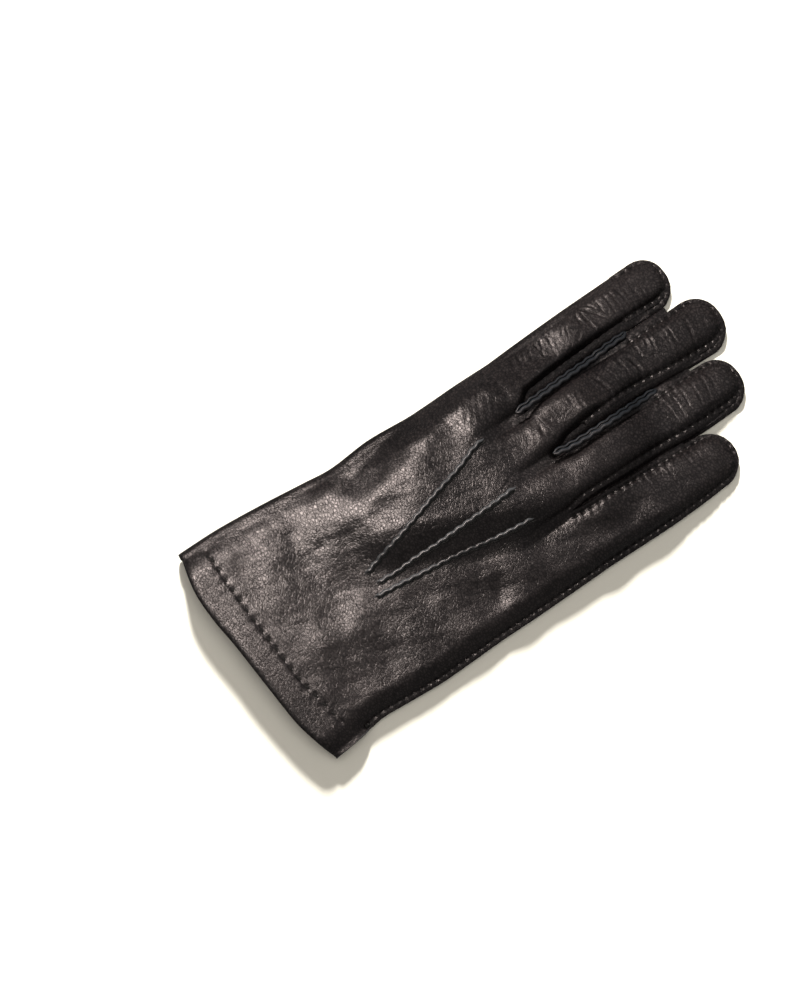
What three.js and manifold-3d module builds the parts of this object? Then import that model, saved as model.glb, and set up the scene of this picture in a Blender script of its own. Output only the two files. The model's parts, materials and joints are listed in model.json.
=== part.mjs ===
// A man's lined leather dress glove lying palm down, with its thumb folded flat under the palm.
// The cuff faces -Y, the fingers point to +Y and the little finger is on the +X side.
import * as THREE from 'three';
import { mergeVertices } from 'three/addons/utils/BufferGeometryUtils.js';
import Module from 'manifold-3d';

const wasm = await Module();
wasm.setup();

// Lengths and widths of the hand part, in millimetres
const handLength = 160;
const palmWidth = 101;
const cuffWidth = 110;
const cuffSlant = 9;
// Lengths of the fingers from their crotch, and the widths of their backs
const indexLength = 89;
const middleLength = 95;
const ringLength = 86;
const littleLength = 76;
const indexWidth = 20.5;
const middleWidth = 21;
const ringWidth = 21;
const littleWidth = 26.5;
const palmSpread = 2.6;
// Heights of the flattened glove
const handHeight = 10.5;
const fingerHeight = 11;
const fingerEdge = 6.6;
const foldHeight = 7.6;
const seamRise = 1.4;
const tipRise = 0.8;
// Walls, hem and seams
const leather = 1.0;
const hemWall = 2.3;
const hemDepth = 12.5;
const liningWall = 1.0;
const liningDepth = 37;
const lip = 2.0;
const clearance = 0.35;
// The folded thumb
const thumbLength = 120;
const thumbWidth = 43;
const thumbHeight = 8;
const thumbFold = 5.6;
const thumbReach = 22;
// The raised pin tucks on the back
const tuckHeight = 0.9;
const tuckWidth = 1.8;
const tuckRoot = 0.5;
// The vent at the wrist and its rolled binding
const ventLength = 41;
const ventOpening = 5;
const bindingWall = 2.6;

const table = (columns, rows) =>
  rows.map((row) => Object.fromEntries(columns.map((column, i) => [column, row[i]])));

// Sides of the hand: shares of palmWidth, and of how much wider the cuff is
const handSides = table(
  ['along', 'left', 'right', 'flare'],
  [
    [0.0, 0.5, 0.495, 1.06],
    [0.11, 0.5, 0.482, 1.0],
    [0.18, 0.5, 0.466, 0.9],
    [0.29, 0.5, 0.478, 0.68],
    [0.4, 0.5, 0.491, 0.42],
    [0.49, 0.5, 0.493, 0.22],
    [0.62, 0.517, 0.493, 0.1],
    [0.77, 0.506, 0.499, 0.0],
    [1.0, 0.497, 0.504, 0.0],
  ],
);

// The cuff edge as shares of cuffSlant, and the line of crotches as shares of handLength
const cuffLine = table(
  ['along', 'climb'],
  [[0, 0.37], [0.14, 0.02], [0.27, 0.0], [0.4, 0.14], [0.62, 0.28], [0.8, 0.42], [0.92, 0.72], [1, 1]],
);
const crotchLine = table(
  ['along', 'climb'],
  [[0, 0.975], [0.244, 0.981], [0.472, 1.0], [0.711, 0.933], [1, 0.915]],
);

// The back's height along the hand and the fingers, as shares of handHeight and fingerHeight
const handCrown = table(
  ['along', 'height'],
  [[0, 1.16], [0.1, 1.08], [0.3, 0.97], [0.5, 1.0], [0.75, 1.06], [1, 1.08]],
);
const fingerCrown = table(
  ['along', 'height'],
  [[0, 1.0], [0.18, 1.02], [0.34, 0.9], [0.5, 0.98], [0.67, 0.88], [0.84, 0.95], [1, 0.84]],
);

// Soft bumps and dents of the back: places as shares of its width and length, rise of handHeight
const backDents = table(
  ['across', 'along', 'radius', 'rise'],
  [
    [0.07, 0.73, 0.06, 0.1],
    [0.24, 0.63, 0.08, 0.12],
    [0.12, 0.88, 0.06, 0.1],
    [0.05, 0.44, 0.07, 0.08],
    [0.76, 0.76, 0.07, 0.08],
    [0.87, 0.57, 0.06, 0.08],
    [0.39, 0.96, 0.05, 0.08],
    [0.2, 0.94, 0.05, -0.12],
    [0.11, 0.58, 0.07, -0.12],
    [0.24, 0.35, 0.09, -0.13],
    [0.81, 0.67, 0.07, -0.11],
  ],
);

// Sides of each finger's back: shares of its width, measured from its axis
const indexSides = table(
  ['along', 'left', 'right'],
  [[0, -0.47, 0.62], [0.2, -0.49, 0.55], [0.45, -0.5, 0.5], [0.75, -0.5, 0.49], [1, -0.49, 0.54]],
);
const middleSides = table(
  ['along', 'left', 'right'],
  [[0, -0.5, 0.54], [0.25, -0.49, 0.5], [0.5, -0.48, 0.46], [0.78, -0.46, 0.6], [1, -0.45, 0.66]],
);
const ringSides = table(
  ['along', 'left', 'right'],
  [[0, -0.5, 0.42], [0.25, -0.52, 0.47], [0.55, -0.48, 0.51], [0.8, -0.47, 0.59], [1, -0.43, 0.6]],
);
const littleSides = table(
  ['along', 'left', 'right'],
  [[0, -0.56, 0.47], [0.25, -0.53, 0.5], [0.55, -0.48, 0.53], [0.8, -0.44, 0.53], [1, -0.4, 0.51]],
);

// One row a finger: its crotch is the entry of crotchLine that its length starts from,
// and its axis is a share of palmWidth from the middle of the hand
const fingers = table(
  ['name', 'length', 'width', 'axis', 'crotch', 'sides'],
  [
    ['index', indexLength, indexWidth, -0.402, 1, indexSides],
    ['middle', middleLength, middleWidth, -0.142, 2, middleSides],
    ['ring', ringLength, ringWidth, 0.121, 2, ringSides],
    ['little', littleLength, littleWidth, 0.378, 3, littleSides],
  ],
);
// Rows of a finger from its root to its tip: the index side's fold ends at foldedShare
const foldedShare = 0.868;
const closeShare = 0.72;
const fingerRows = [...Array(8).keys()].map((i) => (foldedShare * (i + 1)) / 8);
fingerRows.push(foldedShare + 0.012, 1);
const tipRows = [0.35, 0.62, 0.82, 1];
const tipLip = 0.82;

// The thumb, as shares of thumbWidth across and thumbLength along: the ground side's left
// edge, the palm side's left edge where it joins the palm's hole, and the folded right edge
const thumbSides = table(
  ['along', 'ground', 'palm', 'right', 'height'],
  [
    [0.0, -0.86, -0.6, -0.55, 0.46],
    [0.1, -1.02, -0.62, -0.42, 0.72],
    [0.24, -1.13, -0.68, -0.27, 0.95],
    [0.38, -1.18, -0.76, -0.11, 1.0],
    [0.5, -1.18, -0.84, 0.02, 1.0],
    [0.66, -0.94, -0.94, 0.24, 1.0],
    [0.78, -0.66, -0.66, 0.4, 0.97],
    [0.84, -0.52, -0.52, 0.46, 0.95],
  ],
);
const thumbCrotch = 0.66;
const thumbStraight = 0.84;
const thumbBase = { across: 0.0, along: 0.405 };
const thumbDip = 0.06;

// The three pin tucks, each from its wrist end to its knuckle end, as shares of the back
const pinTucks = [
  table(['along', 'across'], [[0.396, 0.466], [0.52, 0.413], [0.66, 0.358], [0.8, 0.29], [0.86, 0.258]]),
  table(['along', 'across'], [[0.406, 0.519], [0.53, 0.516], [0.69, 0.525], [0.81, 0.511], [0.86, 0.503]]),
  table(['along', 'across'], [[0.381, 0.564], [0.518, 0.584], [0.66, 0.62], [0.8, 0.649], [0.85, 0.654]]),
];

// The vent's middle, as a share of palmWidth from the middle of the hand
const ventPlace = -0.04;

const clamp = (value) => Math.min(1, Math.max(0, value));
const mix = (a, b, share) => a + (b - a) * share;
const ease = (share) => Math.sin((clamp(share) * Math.PI) / 2);
const soften = (share) => clamp(share) ** 2 * (3 - 2 * clamp(share));

// Value of a table's column at a place along it, on a smooth curve through its rows
function lookup(rows, along, column) {
  const last = rows.length - 1;
  let i = 0;
  while (i < last - 1 && along > rows[i + 1].along) i += 1;
  const slope = (k) => {
    const before = rows[Math.max(0, k - 1)];
    const after = rows[Math.min(last, k + 1)];
    return (after[column] - before[column]) / (after.along - before.along);
  };
  const [start, end] = [rows[i], rows[i + 1]];
  const span = end.along - start.along;
  const t = clamp((along - start.along) / span);
  const rise = end[column] - start[column];
  const bend = slope(i) * span * (t * (1 - t) ** 2) - slope(i + 1) * span * (t ** 2 * (1 - t));
  return start[column] + rise * soften(t) + bend;
}

// Place on a half square turned into a half disc, so that a grid can end in a round tip
function roundTip(across, along) {
  const side = 2 * across - 1;
  return {
    x: side * Math.sqrt(1 - along ** 2 / 2),
    y: along * Math.sqrt(1 - side ** 2 / 2),
  };
}

// A closed wall: an outer skin of quads, an inner skin below it and walls round the edges
function shell(points, quads, thickness) {
  const normals = points.map(() => new THREE.Vector3());
  for (const quad of quads) {
    const [a, b, c, d] = quad.map((index) => points[index]);
    const normal = new THREE.Vector3().subVectors(c, a).cross(new THREE.Vector3().subVectors(d, b));
    quad.forEach((index) => normals[index].add(normal));
  }
  const inner = points.map((point, i) =>
    point.clone().addScaledVector(normals[i].normalize(), -thickness[i]));
  const count = points.length;
  const triangles = [];
  const edges = new Map();
  const addQuad = (a, b, c, d) => triangles.push(a, b, c, a, c, d);
  for (const [a, b, c, d] of quads) {
    addQuad(a, b, c, d);
    addQuad(a + count, d + count, c + count, b + count);
    for (const [from, to] of [[a, b], [b, c], [c, d], [d, a]]) {
      if (!edges.delete(`${to} ${from}`)) edges.set(`${from} ${to}`, [from, to]);
    }
  }
  for (const [from, to] of edges.values()) addQuad(to, from, from + count, to + count);
  return geometryFrom([...points, ...inner], triangles);
}

function geometryFrom(points, triangles) {
  const geometry = new THREE.BufferGeometry().setFromPoints(points);
  geometry.setIndex(triangles);
  return geometry;
}

// A closed bar through sections of the same number of corners, its ends closed by capQuads
function loft(sections, capQuads) {
  const corners = sections[0].length;
  const triangles = [];
  for (let i = 0; i < sections.length - 1; i += 1) {
    for (let k = 0; k < corners; k += 1) {
      const next = (k + 1) % corners;
      const [a, b] = [i * corners + k, i * corners + next];
      const [c, d] = [a + corners, b + corners];
      triangles.push(a, b, d, a, d, c);
    }
  }
  const end = (sections.length - 1) * corners;
  for (const [a, b, c, d] of capQuads) {
    triangles.push(a, c, b, a, d, c);
    triangles.push(end + a, end + b, end + c, end + a, end + c, end + d);
  }
  return geometryFrom(sections.flat(), triangles);
}

// Joins and cuts
function solidFrom(geometry) {
  const bare = geometry.clone();
  for (const name of Object.keys(bare.attributes)) {
    if (name !== 'position') bare.deleteAttribute(name);
  }
  const merged = mergeVertices(bare, 1e-4);
  return new wasm.Manifold(new wasm.Mesh({
    numProp: 3,
    vertProperties: new Float32Array(merged.attributes.position.array),
    triVerts: new Uint32Array(merged.index.array),
  }));
}

function geometryOf(solid) {
  const mesh = solid.getMesh();
  const geometry = new THREE.BufferGeometry();
  geometry.setAttribute('position', new THREE.BufferAttribute(mesh.vertProperties, 3));
  geometry.setIndex(new THREE.BufferAttribute(mesh.triVerts, 1));
  return geometry;
}

// An upright prism of an outline, tall enough to cut through a lying sheet
function prism(outline) {
  const tall = 2 * (handHeight + thumbHeight);
  const plan = new THREE.Shape(outline);
  const geometry = new THREE.ExtrudeGeometry(plan, { depth: tall, bevelEnabled: false });
  return solidFrom(geometry.translate(0, 0, -tall / 4));
}

// The thumb's plan: its rows run from the base to the tip
const thumbRootY = handLength * thumbBase.along;

function thumbPlan(along, column) {
  return {
    x: palmWidth * thumbBase.across + thumbWidth * lookup(thumbSides, along, column),
    y: thumbRootY + thumbLength * along,
  };
}

function outlineOf(column) {
  const side = (name) => (i) => {
    const place = thumbPlan((thumbStraight * i) / 12, name);
    return new THREE.Vector2(place.x, place.y);
  };
  const steps = [...Array(13).keys()];
  const left = steps.map(side(column));
  const right = steps.map(side('right'));
  const middle = left[12].clone().add(right[12]).multiplyScalar(0.5);
  const half = right[12].distanceTo(left[12]) / 2;
  const tipHeight = thumbLength * (1 - thumbStraight);
  const tip = [0.25, 0.5, 0.75].map((turn) => new THREE.Vector2(
    middle.x - half * Math.cos(turn * Math.PI),
    middle.y + tipHeight * Math.sin(turn * Math.PI),
  ));
  return [...left, ...tip, ...right.reverse()];
}

function distanceOutside(x, y, outline) {
  let inside = false;
  let nearest = Infinity;
  outline.forEach((start, i) => {
    const end = outline[(i + 1) % outline.length];
    const [dx, dy] = [end.x - start.x, end.y - start.y];
    const t = clamp(((x - start.x) * dx + (y - start.y) * dy) / (dx * dx + dy * dy));
    nearest = Math.min(nearest, Math.hypot(x - start.x - t * dx, y - start.y - t * dy));
    if (start.y > y !== end.y > y && x < start.x + (dx * (y - start.y)) / dy) inside = !inside;
  });
  return inside ? 0 : nearest;
}

const palmSideOutline = outlineOf('palm');
const groundSideOutline = outlineOf('ground');

function thumbTop(y) {
  return thumbHeight * lookup(thumbSides, clamp((y - thumbRootY) / thumbLength), 'height');
}

// How far the hand is lifted off the ground by the thumb that lies under it
function lift(x, y) {
  const overThumb = thumbTop(y) + clearance;
  const overRim = leather + clearance;
  const fromThumb = distanceOutside(x, y, palmSideOutline);
  const fromRim = distanceOutside(x, y, groundSideOutline);
  return Math.max(
    overThumb * soften(1 - fromThumb / thumbReach),
    overRim * soften(1.25 * (1 - fromRim / (thumbReach / 2))),
  );
}

// Hand part: across runs from the index side to the little finger side, along from cuff to crotch
const cellShares = (width) => [0, lip / width, 0.3, 0.5, 0.7, 1 - lip / width, 1];
const hemShare = hemDepth / handLength;
const hemStep = 0.6 / handLength;
const handRows = [0, hemShare / 2, hemShare, hemShare + hemStep];
const bodyRows = 13;
for (let i = 1; i <= bodyRows; i += 1) {
  handRows.push(mix(hemShare + hemStep, 1, i / bodyRows));
}

function handPlan(across, along) {
  const flare = (cuffWidth - palmWidth) * lookup(handSides, along, 'flare');
  const left = -palmWidth * lookup(handSides, along, 'left') - flare;
  const right = palmWidth * lookup(handSides, along, 'right');
  const cuff = cuffSlant * lookup(cuffLine, across, 'climb');
  const crotch = handLength * lookup(crotchLine, across, 'climb');
  return { left, right, across, along, y: mix(cuff, crotch, along) };
}

// The finger whose root lies ahead of a place across the hand, and the share across that finger
function fingerAt(across) {
  const index = crotchLine.findIndex((entry) => entry.along > across) - 1;
  const [start, end] = [crotchLine[index].along, crotchLine[index + 1].along];
  return { index, within: (across - start) / (end - start) };
}

const wallAt = (along) => (along < hemShare + hemStep / 2 ? hemWall : leather);

// Height of the back's lip over the palm's lip along the seam on the little finger side
function seamEdge(along) {
  const wall = mix(hemWall, leather, soften((along - hemShare) / hemShare));
  return seamRise + 2 * wall + clearance;
}

const closedTip = tipRise + 2 * leather + clearance;

// Radius of the index side's fold, which tightens along the finger to where its seam begins
function foldRadius(along) {
  return (foldHeight / 2) * mix(1, 0.58, soften((along - 0.55) / (foldedShare - 0.55)));
}

// Height of a finger's back over the ground at a place on it, before any lift
function fingerTop(index, across, along, tip) {
  const finger = fingers[index];
  const closing = soften((along - closeShare) / (1 - closeShare));
  const folded = index === 0 && along <= foldedShare;
  const leftSide = folded ? 2 * foldRadius(along) : mix(fingerEdge, closedTip, closing);
  const rightSide = mix(index === 3 ? seamEdge(1) : fingerEdge, closedTip, closing);
  const edge = mix(leftSide, rightSide, across);
  const lipShare = lip / finger.width;
  const side = clamp((across - lipShare) / (1 - 2 * lipShare));
  const dome = (1 - Math.abs(2 * side - 1) ** 2.4) * Math.sqrt(1 - Math.min(1, tip / tipLip) ** 2);
  const crown = fingerHeight * lookup(fingerCrown, along, 'height');
  return edge + (crown - edge) * dome;
}

// Height of the hand's back over the ground at a place on it, before any lift
function handTop(index, within, across, along) {
  const edge = mix(foldHeight, seamEdge(along), across);
  const lipShare = lip / palmWidth;
  const dome = Math.min(ease(across / 0.16), ease((1 - lipShare - across) / 0.16));
  const crown = handHeight * lookup(handCrown, along, 'height');
  let height = edge + (crown - edge) * dome;
  for (const dent of backDents) {
    const away = Math.hypot((across - dent.across) * palmWidth, (along - dent.along) * handLength);
    height += handHeight * dent.rise * dome * Math.exp(-((away / (dent.radius * handLength)) ** 2));
  }
  return mix(height, fingerTop(index, within, 0, 0), soften((along - 0.82) / 0.18));
}

// How far the palm's edge curls up to its lip, on the seam side and at the finger tips
const seamCurl = (within) => seamRise * soften((within - 0.62) / 0.28);

// A whole side of the glove, the back or the palm: the hand part and its four fingers
function gloveSide(isBack) {
  const points = [];
  const quads = [];
  const thickness = [];
  const lips = fingers.map(() => ({ left: [], right: [] }));
  const foldTurns = [2.55, 1.9, 1.2, 0.6];

  const addPoint = (x, y, height, wall) => {
    points.push(new THREE.Vector3(x, y, lift(x, y) + height));
    thickness.push(wall);
    return points.length - 1;
  };
  const addFold = (left, y, radius, wall) => {
    const end = Math.PI - Math.asin((clearance + wall / 3) / radius);
    return isBack ? [end, ...foldTurns].map((turn) => addPoint(
      left + radius * (1 - Math.sin(turn)), y, radius * (1 + Math.cos(turn)), wall)) : [];
  };
  const addStrip = (rows) => {
    for (let i = 0; i < rows.length - 1; i += 1) {
      const cells = Math.min(rows[i].length, rows[i + 1].length) - 1;
      const [near, far] = [rows[i].slice(-cells - 1), rows[i + 1].slice(-cells - 1)];
      for (let k = 0; k < cells; k += 1) {
        const quad = [near[k], near[k + 1], far[k + 1], far[k]];
        quads.push(isBack ? quad : quad.reverse());
      }
    }
  };

  const rows = handRows.map((along) => {
    const wall = wallAt(along);
    const row = [];
    fingers.forEach((finger, index) => {
      const [start, end] = [crotchLine[index].along, crotchLine[index + 1].along];
      cellShares(finger.width).forEach((within, k) => {
        if (index > 0 && k === 0) return;
        const place = handPlan(mix(start, end, within), along);
        if (row.length === 0) row.push(...addFold(place.left, place.y, foldRadius(0), wall));
        const x = mix(place.left + foldRadius(0), place.right, place.across);
        const height = isBack
          ? handTop(index, within, place.across, along)
          : (index === 3 ? seamCurl(within) : 0);
        row.push(addPoint(x, place.y, height, wall));
      });
    });
    return row;
  });
  addStrip(rows);

  const root = rows[rows.length - 1];
  const cells = cellShares(1).length - 1;
  const foldCount = isBack ? foldTurns.length + 1 : 0;
  fingers.forEach((finger, index) => {
    const first = foldCount + index * cells;
    const rootRow = root.slice(index === 0 ? 0 : first, first + cells + 1);
    const rootPoints = root.slice(first, first + cells + 1).map((i) => points[i]);
    const axis = palmWidth * finger.axis;
    const spread = isBack || index === 3 ? 0 : palmSpread;
    const sideAt = (along) => ({
      left: axis + finger.width * lookup(finger.sides, along, 'left'),
      right: axis + finger.width * lookup(finger.sides, along, 'right') + spread * soften(along / 0.2),
    });
    const end = sideAt(1);
    const half = (end.right - end.left) / 2;
    const tipHalf = half - spread / 2;
    const tipStart = handLength * crotchLine[finger.crotch].climb + finger.length - tipHalf;
    const shares = cellShares(finger.width);

    const heightAt = (within, along, tip) => {
      if (isBack) return fingerTop(index, within, along, tip);
      const closing = soften((along - closeShare) / (1 - closeShare));
      const curl = index === 3 ? seamCurl(within) * mix(1, tipRise / seamRise, closing) : 0;
      return mix(curl, tipRise, soften(tip / tipLip));
    };
    const strip = [rootRow];
    for (const along of fingerRows) {
      const side = sideAt(along);
      const folded = index === 0 && along <= foldedShare;
      const inset = folded ? foldRadius(along) : 0;
      const blend = soften(along / 0.2);
      const row = [];
      shares.forEach((within, k) => {
        const y = mix(rootPoints[k].y, tipStart, along);
        const x = mix(rootPoints[k].x, mix(side.left + inset, side.right, within), blend);
        if (k === 0 && folded) row.push(...addFold(x - inset, y, inset, leather));
        row.push(addPoint(x, y, heightAt(within, along, 0), leather));
      });
      strip.push(row);
    }
    for (const tip of tipRows) {
      strip.push(shares.map((within) => {
        const place = roundTip(within, tip);
        const x = (end.left + end.right) / 2 + half * place.x;
        return addPoint(x, tipStart + tipHalf * place.y, heightAt(within, 1, tip), leather);
      }));
    }
    addStrip(strip);
    strip.forEach((row) => {
      lips[index].left.push(points[row[Math.max(0, row.length - shares.length)]]);
      lips[index].right.push(points[row[row.length - 1]]);
    });
  });
  return { geometry: shell(points, quads, thickness), lips };
}

// The strip between two fingers: it runs down one, round the crotch and up the other, and its
// folded edges lie under the back's lip and over the palm's lip
const stripEnd = 1.25;

function fourchette(index, back, palm) {
  const stations = [];
  const addStation = (top, bottom, turn) => {
    const height = top.z - bottom.z - 2 * (leather + clearance);
    if (height < stripEnd) return;
    const inward = new THREE.Vector3(Math.cos(turn), Math.sin(turn), 0);
    const wall = Math.min(leather, height / 2.5);
    const place = (edge, level, depth) => {
      const point = edge.clone().addScaledVector(inward, depth);
      const slope = lift(point.x, point.y) - lift(edge.x, edge.y);
      point.z = edge.z + level + slope;
      return point;
    };
    const [over, under] = [-leather - clearance, leather + clearance];
    stations.push([
      place(top, over, 0),
      place(top, over, lip + wall),
      place(bottom, under, lip + wall),
      place(bottom, under, 0),
      place(bottom, under + wall, 0),
      place(bottom, under + wall, lip),
      place(top, over - wall, lip),
      place(top, over - wall, 0),
    ]);
  };
  const straight = fingerRows.length + 1;
  for (let i = straight - 1; i > 0; i -= 1) {
    addStation(back.lips[index].right[i], palm.lips[index].right[i], Math.PI);
  }
  for (const turn of [1.2, 1.5, 1.8]) {
    addStation(back.lips[index].right[0], palm.lips[index].right[0], turn * Math.PI);
  }
  for (let i = 1; i < straight; i += 1) {
    addStation(back.lips[index + 1].left[i], palm.lips[index + 1].left[i], 0);
  }
  return loft(stations, [[0, 1, 6, 7], [1, 2, 5, 6], [2, 3, 4, 5]]);
}

// The thumb: one piece folded along its right edge, its lips closing along the left and the tip,
// and its base open upwards into the palm's hole
function thumb() {
  const points = [];
  const quads = [];
  const radius = thumbFold / 2;
  const angles = [2.45, 1.57, 0.7];
  const shares = [0, 0.09, 0.3, 0.55, 0.8, 0.93, 1];
  const rowCount = 10;
  const tipHeight = thumbLength * (1 - thumbStraight);
  const tipEdge = tipRise + 2 * leather + clearance;

  const section = (along, tip) => {
    const ground = thumbPlan(along, 'ground');
    const palm = thumbPlan(along, 'palm');
    const right = thumbPlan(along, 'right');
    const sewn = soften((along - thumbCrotch + 0.06) / 0.12);
    const top = thumbHeight * lookup(thumbSides, along, 'height');
    const tipClose = Math.sqrt(1 - Math.min(1, tip / tipLip) ** 2);
    const turnRadius = mix(tipEdge / 2, Math.min(radius, top / 2), tipClose);
    const dip = thumbLength * thumbDip * soften(1 - along / 0.1);
    const placeOn = (left, within) => {
      const span = right.x - turnRadius - left.x;
      if (tip === 0) return { x: left.x + span * within, y: left.y };
      const place = roundTip(within, tip);
      return { x: left.x + (span * (1 + place.x)) / 2, y: left.y + tipHeight * place.y };
    };
    const row = [];
    shares.forEach((within) => {
      const place = placeOn(ground, within);
      const sideCurl = sewn * soften(1 - within / 0.25);
      const tipCurl = soften(tip / tipLip) * soften((1 - within) / 0.2);
      const sag = dip * Math.sin(Math.PI * within);
      row.push(new THREE.Vector3(place.x, place.y - sag, tipRise * Math.max(sideCurl, tipCurl)));
    });
    const corner = placeOn(palm, 1);
    angles.forEach((angle) => row.push(new THREE.Vector3(
      corner.x + turnRadius * Math.sin(angle), corner.y, turnRadius * (1 + Math.cos(angle)))));
    [...shares].reverse().forEach((within) => {
      const place = placeOn(palm, within);
      const leftEdge = mix(top, tipEdge, sewn);
      const edge = mix(leftEdge, 2 * turnRadius, within);
      const side = clamp((within - 0.09) / 0.91);
      const dome = mix(ease(side / 0.35), 1, 1 - sewn) * ease((1 - within) / 0.3) * tipClose;
      row.push(new THREE.Vector3(place.x, place.y, edge + (top - edge) * dome));
    });
    return row;
  };
  const rows = [];
  for (let i = 0; i <= rowCount; i += 1) rows.push(section((thumbStraight * i) / rowCount, 0));
  for (const tip of tipRows) rows.push(section(thumbStraight, tip));
  const width = rows[0].length;
  rows.forEach((row, i) => {
    points.push(...row);
    if (i === rows.length - 1) return;
    for (let k = 0; k < width - 1; k += 1) {
      const start = i * width + k;
      quads.push([start, start + width, start + width + 1, start + 1]);
    }
  });
  return shell(points, quads, points.map(() => leather));
}

// The hole in the palm that the thumb opens into, clear of the lips sewn round it
function thumbHole() {
  const steps = [0.04, 0.14, 0.26, 0.38, 0.5, 0.58];
  const left = steps.map((along) => {
    const place = thumbPlan(along, 'ground');
    return new THREE.Vector2(place.x + lip, place.y);
  });
  const right = steps.map((along) => {
    const place = thumbPlan(along, 'palm');
    return new THREE.Vector2(place.x + lip, place.y);
  });
  return prism([...left, ...right.reverse()]);
}

// The vent's outline at a distance outside its open middle
function ventOutline(margin) {
  const half = ventOpening / 2 + margin;
  const middle = palmWidth * ventPlace;
  const top = ventLength - ventOpening / 2;
  const arc = [...Array(9).keys()].map((i) => {
    const turn = (Math.PI * i) / 8;
    return new THREE.Vector2(middle + half * Math.cos(turn), top + half * Math.sin(turn));
  });
  const corner = (x) => new THREE.Vector2(x, -cuffSlant);
  return [corner(middle + half), ...arc, corner(middle - half)];
}

// The rolled strip of leather round the vent
function ventBinding() {
  const cuff = cuffSlant * lookup(cuffLine, 0.46, 'climb');
  const route = ventOutline(bindingWall / 2);
  route.forEach((place) => { place.y = Math.max(place.y, cuff); });
  const sides = 8;
  const sections = route.map((place, i) => {
    const before = route[Math.max(0, i - 1)];
    const after = route[Math.min(route.length - 1, i + 1)];
    const run = new THREE.Vector2().subVectors(after, before).normalize();
    return [...Array(sides).keys()].map((k) => {
      const turn = (2 * Math.PI * (k + 0.5)) / sides;
      const out = (bindingWall / 2) * Math.cos(turn);
      const up = (bindingWall / 2) * (1 + Math.sin(turn) / Math.cos(Math.PI / sides));
      return new THREE.Vector3(place.x - run.y * out, place.y + run.x * out, up);
    });
  });
  return loft(sections, [[0, 1, 2, 3], [0, 3, 4, 7], [4, 5, 6, 7]]);
}

// A pin tuck: a pinched ridge that stands on the back and is one with it
function pinTuck(path) {
  const steps = 14;
  const places = [...Array(steps + 1).keys()].map((i) => {
    const along = mix(path[0].along, path[path.length - 1].along, i / steps);
    const across = lookup(path, along, 'across');
    const place = handPlan(across, along);
    const x = mix(place.left + foldHeight / 2, place.right, across);
    const { index, within } = fingerAt(across);
    const height = handTop(index, within, across, along);
    return new THREE.Vector3(x, place.y, lift(x, place.y) + height);
  });
  const sections = places.map((place, i) => {
    const run = new THREE.Vector3().subVectors(
      places[Math.min(steps, i + 1)], places[Math.max(0, i - 1)]).setZ(0).normalize();
    const fade = ease(Math.min(i, steps - i) / 2 + 0.3);
    const corner = (out, up) => new THREE.Vector3(
      place.x - run.y * out, place.y + run.x * out, place.z + up);
    return [
      corner(-tuckWidth / 2, -tuckRoot),
      corner(tuckWidth / 2, -tuckRoot),
      corner(tuckWidth / 4, tuckHeight * fade),
      corner(-tuckWidth / 4, tuckHeight * fade),
    ];
  });
  return solidFrom(loft(sections, [[0, 1, 2, 3]]));
}

// The fabric lining of the wrist: a sleeve that starts behind the hem
function lining() {
  const points = [];
  const quads = [];
  const inset = leather + 1.5 * clearance;
  const radius = foldHeight / 2;
  const start = hemShare + 2 * hemStep;
  const shares = [0, 0.07, 0.15, 0.3, 0.44, 0.6, 0.74, 0.84, 0.92];
  const rowCount = 5;
  for (let i = 0; i <= rowCount; i += 1) {
    const along = start + (liningDepth / handLength) * (i / rowCount);
    const ring = [];
    const place = handPlan(0, along);
    const onSide = (across, isTop) => {
      const spot = handPlan(across, along);
      const x = mix(spot.left + radius, spot.right, across);
      const { index, within } = fingerAt(across);
      const ground = inset + (index === 3 ? seamCurl(within) : 0);
      const height = isTop ? handTop(index, within, across, along) - inset : ground;
      return new THREE.Vector3(x, spot.y, lift(x, spot.y) + height);
    };
    shares.forEach((across) => ring.push(onSide(across, true)));
    ring.reverse();
    const leftX = place.left + inset;
    ring.push(new THREE.Vector3(leftX, place.y, lift(leftX, place.y) + radius));
    shares.forEach((across) => ring.push(onSide(across, false)));
    points.push(...ring);
  }
  const width = points.length / (rowCount + 1);
  for (let i = 0; i < rowCount; i += 1) {
    for (let k = 0; k < width; k += 1) {
      const next = (k + 1) % width;
      const [a, b] = [i * width + k, i * width + next];
      quads.push([a, a + width, b + width, b]);
    }
  }
  return shell(points, quads, points.map(() => liningWall));
}

// Assembly
const glove = new THREE.Group();

const nappa = { color: 0x2a2320, roughness: 0.42, metalness: 0 };
const knit = { color: 0x3a3432, roughness: 0.95, metalness: 0 };

function addPiece(name, geometry, finish) {
  geometry.computeVertexNormals();
  const mesh = new THREE.Mesh(geometry, new THREE.MeshStandardMaterial(finish));
  mesh.name = name;
  glove.add(mesh);
}

const back = gloveSide(true);
const palm = gloveSide(false);
const ventCut = prism(ventOutline(bindingWall + clearance));
const tuckedBack = pinTucks.reduce((solid, path) => solid.add(pinTuck(path)), solidFrom(back.geometry));

addPiece('back', geometryOf(tuckedBack), nappa);
addPiece('palm', geometryOf(solidFrom(palm.geometry).subtract(thumbHole()).subtract(ventCut)), nappa);
addPiece('fourchette_index_middle', fourchette(0, back, palm), nappa);
addPiece('fourchette_middle_ring', fourchette(1, back, palm), nappa);
addPiece('fourchette_ring_little', fourchette(2, back, palm), nappa);
addPiece('thumb', thumb(), nappa);
addPiece('vent_binding', ventBinding(), nappa);
addPiece('lining', geometryOf(solidFrom(lining()).subtract(ventCut)), knit);

// The origin is at the bottom centre of the whole glove
const bounds = new THREE.Box3().setFromObject(glove);
const centre = bounds.getCenter(new THREE.Vector3());
glove.position.set(-centre.x, -centre.y, -bounds.min.z);

export default glove;
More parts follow.
